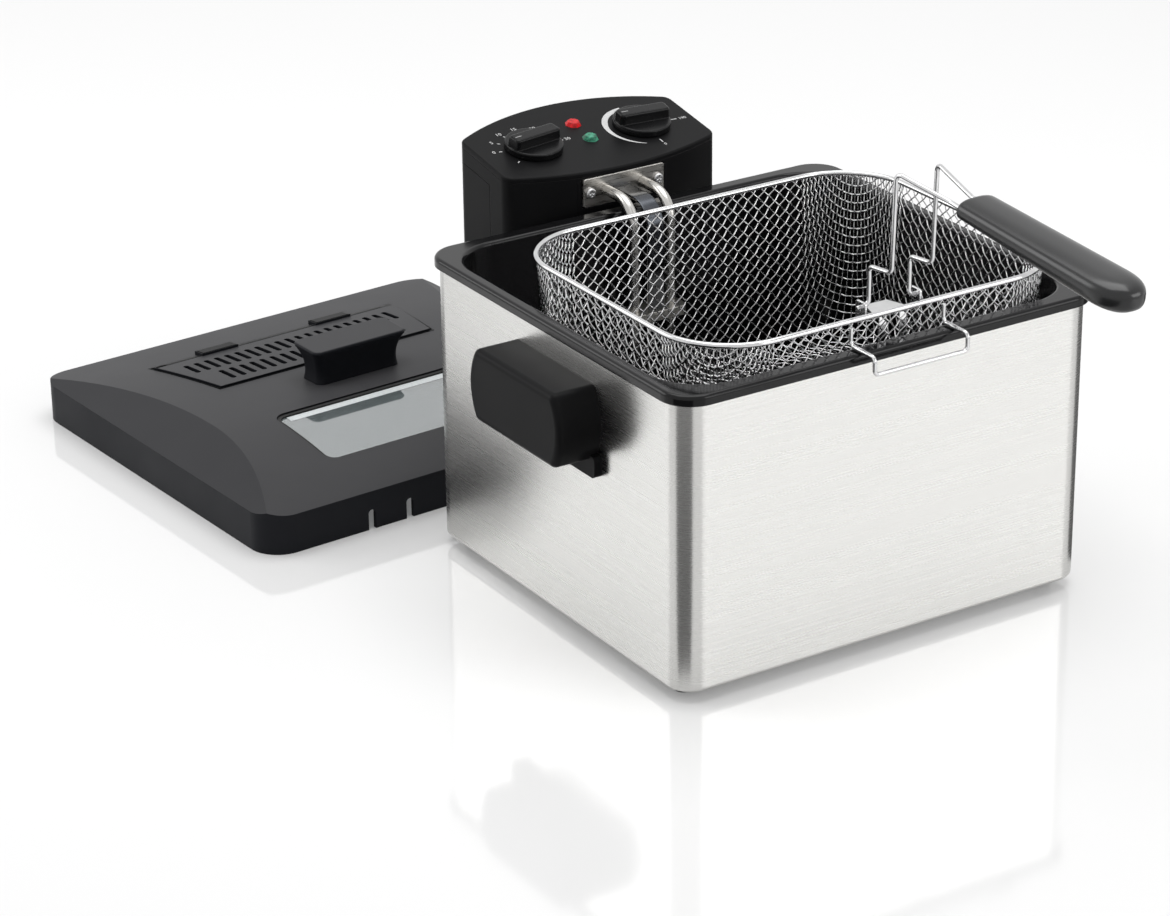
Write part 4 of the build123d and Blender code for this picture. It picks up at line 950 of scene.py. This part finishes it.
def floor_flag(name, corner, heading, spread, cloth):
    """A dark sector on the floor before a corner of the housing, seen only in the housing's reflections.

    A grid of radius against angle round the corner.
    """
    count = 18
    angles = np.radians(heading + np.linspace(-spread, spread, count))
    radii = np.array((flag_far, flag_near))
    arms = np.stack((np.cos(angles), np.sin(angles), np.zeros(count)), axis=-1)
    points = radii[:, None, None] * arms + np.array((*corner, flag_lift))
    mesh = bpy.data.meshes.new(name)
    mesh.from_pydata(points.reshape(-1, 3).tolist(), [], grid_faces(2, count).tolist())
    mesh.materials.append(cloth)
    flag = bpy.data.objects.new(name, mesh)
    flag.visible_camera = False
    flag.visible_diffuse = False
    flag.visible_shadow = False
    flag.visible_transmission = False
    bpy.context.scene.collection.objects.link(flag)


def studio_world():
    """White for what the camera, metal and glass see, and a softer grey as light."""
    world = bpy.data.worlds.new("studio")
    bpy.context.scene.world = world
    world.use_nodes = True
    nodes, links = world.node_tree.nodes, world.node_tree.links
    background = nodes["Background"]
    background.inputs["Color"].default_value = (1, 1, 1, 1)
    level = nodes.new("ShaderNodeMapRange")
    level.inputs["To Min"].default_value = world_light
    level.inputs["To Max"].default_value = 1.0
    links.new(seen_directly(nodes, links), level.inputs["Value"])
    links.new(level.outputs["Result"], background.inputs["Strength"])


def soft_lamp(name, spot, target, size, power):
    """A rectangular soft lamp aimed at a point."""
    lamp = bpy.data.lights.new(name, "AREA")
    lamp.shape = "RECTANGLE"
    lamp.size, lamp.size_y = size
    lamp.energy = power
    holder = bpy.data.objects.new(name, lamp)
    holder.location = spot
    holder.rotation_mode = "QUATERNION"
    holder.rotation_quaternion = (Vector(target) - Vector(spot)).to_track_quat("-Z", "Y")
    bpy.context.scene.collection.objects.link(holder)


def photo_camera():
    """A camera from its spot, its forward direction and its roll."""
    right = camera_forward.cross(Vector((0, 0, 1))).normalized()
    up = right.cross(camera_forward)
    across = cos(camera_roll) * right + sin(camera_roll) * up
    above = cos(camera_roll) * up - sin(camera_roll) * right
    camera = bpy.data.cameras.new("camera")
    camera.sensor_fit = "HORIZONTAL"
    camera.sensor_width = 36
    camera.lens = camera_lens
    camera.clip_end = 100
    holder = bpy.data.objects.new("camera", camera)
    axes = Matrix((across, above, -camera_forward)).transposed()
    holder.matrix_world = Matrix.Translation(camera_spot) @ axes.to_4x4()
    bpy.context.scene.collection.objects.link(holder)
    bpy.context.scene.camera = holder


studio_floor()
dark_cloth = flag_cloth()
floor_flag("near_flag", near_corner, heading=-147.9, spread=34, cloth=dark_cloth)
floor_flag("right_flag", right_corner, heading=18, spread=32, cloth=dark_cloth)
studio_world()
soft_lamp("overhead_softbox", spot=(0.1, 0.3, 2.2), target=(0, 0.05, 0.1), size=(2.0, 1.6), power=30)
soft_lamp("front_softbox", spot=(1.2, -2.0, 1.0), target=(0, 0, 0.1), size=(1.6, 1.2), power=18)
soft_lamp("left_softbox", spot=(-1.6, 1.6, 1.1), target=(0, 0, 0.12), size=(1.2, 1.2), power=12)
photo_camera()
bpy.context.scene.view_settings.view_transform = "Standard"
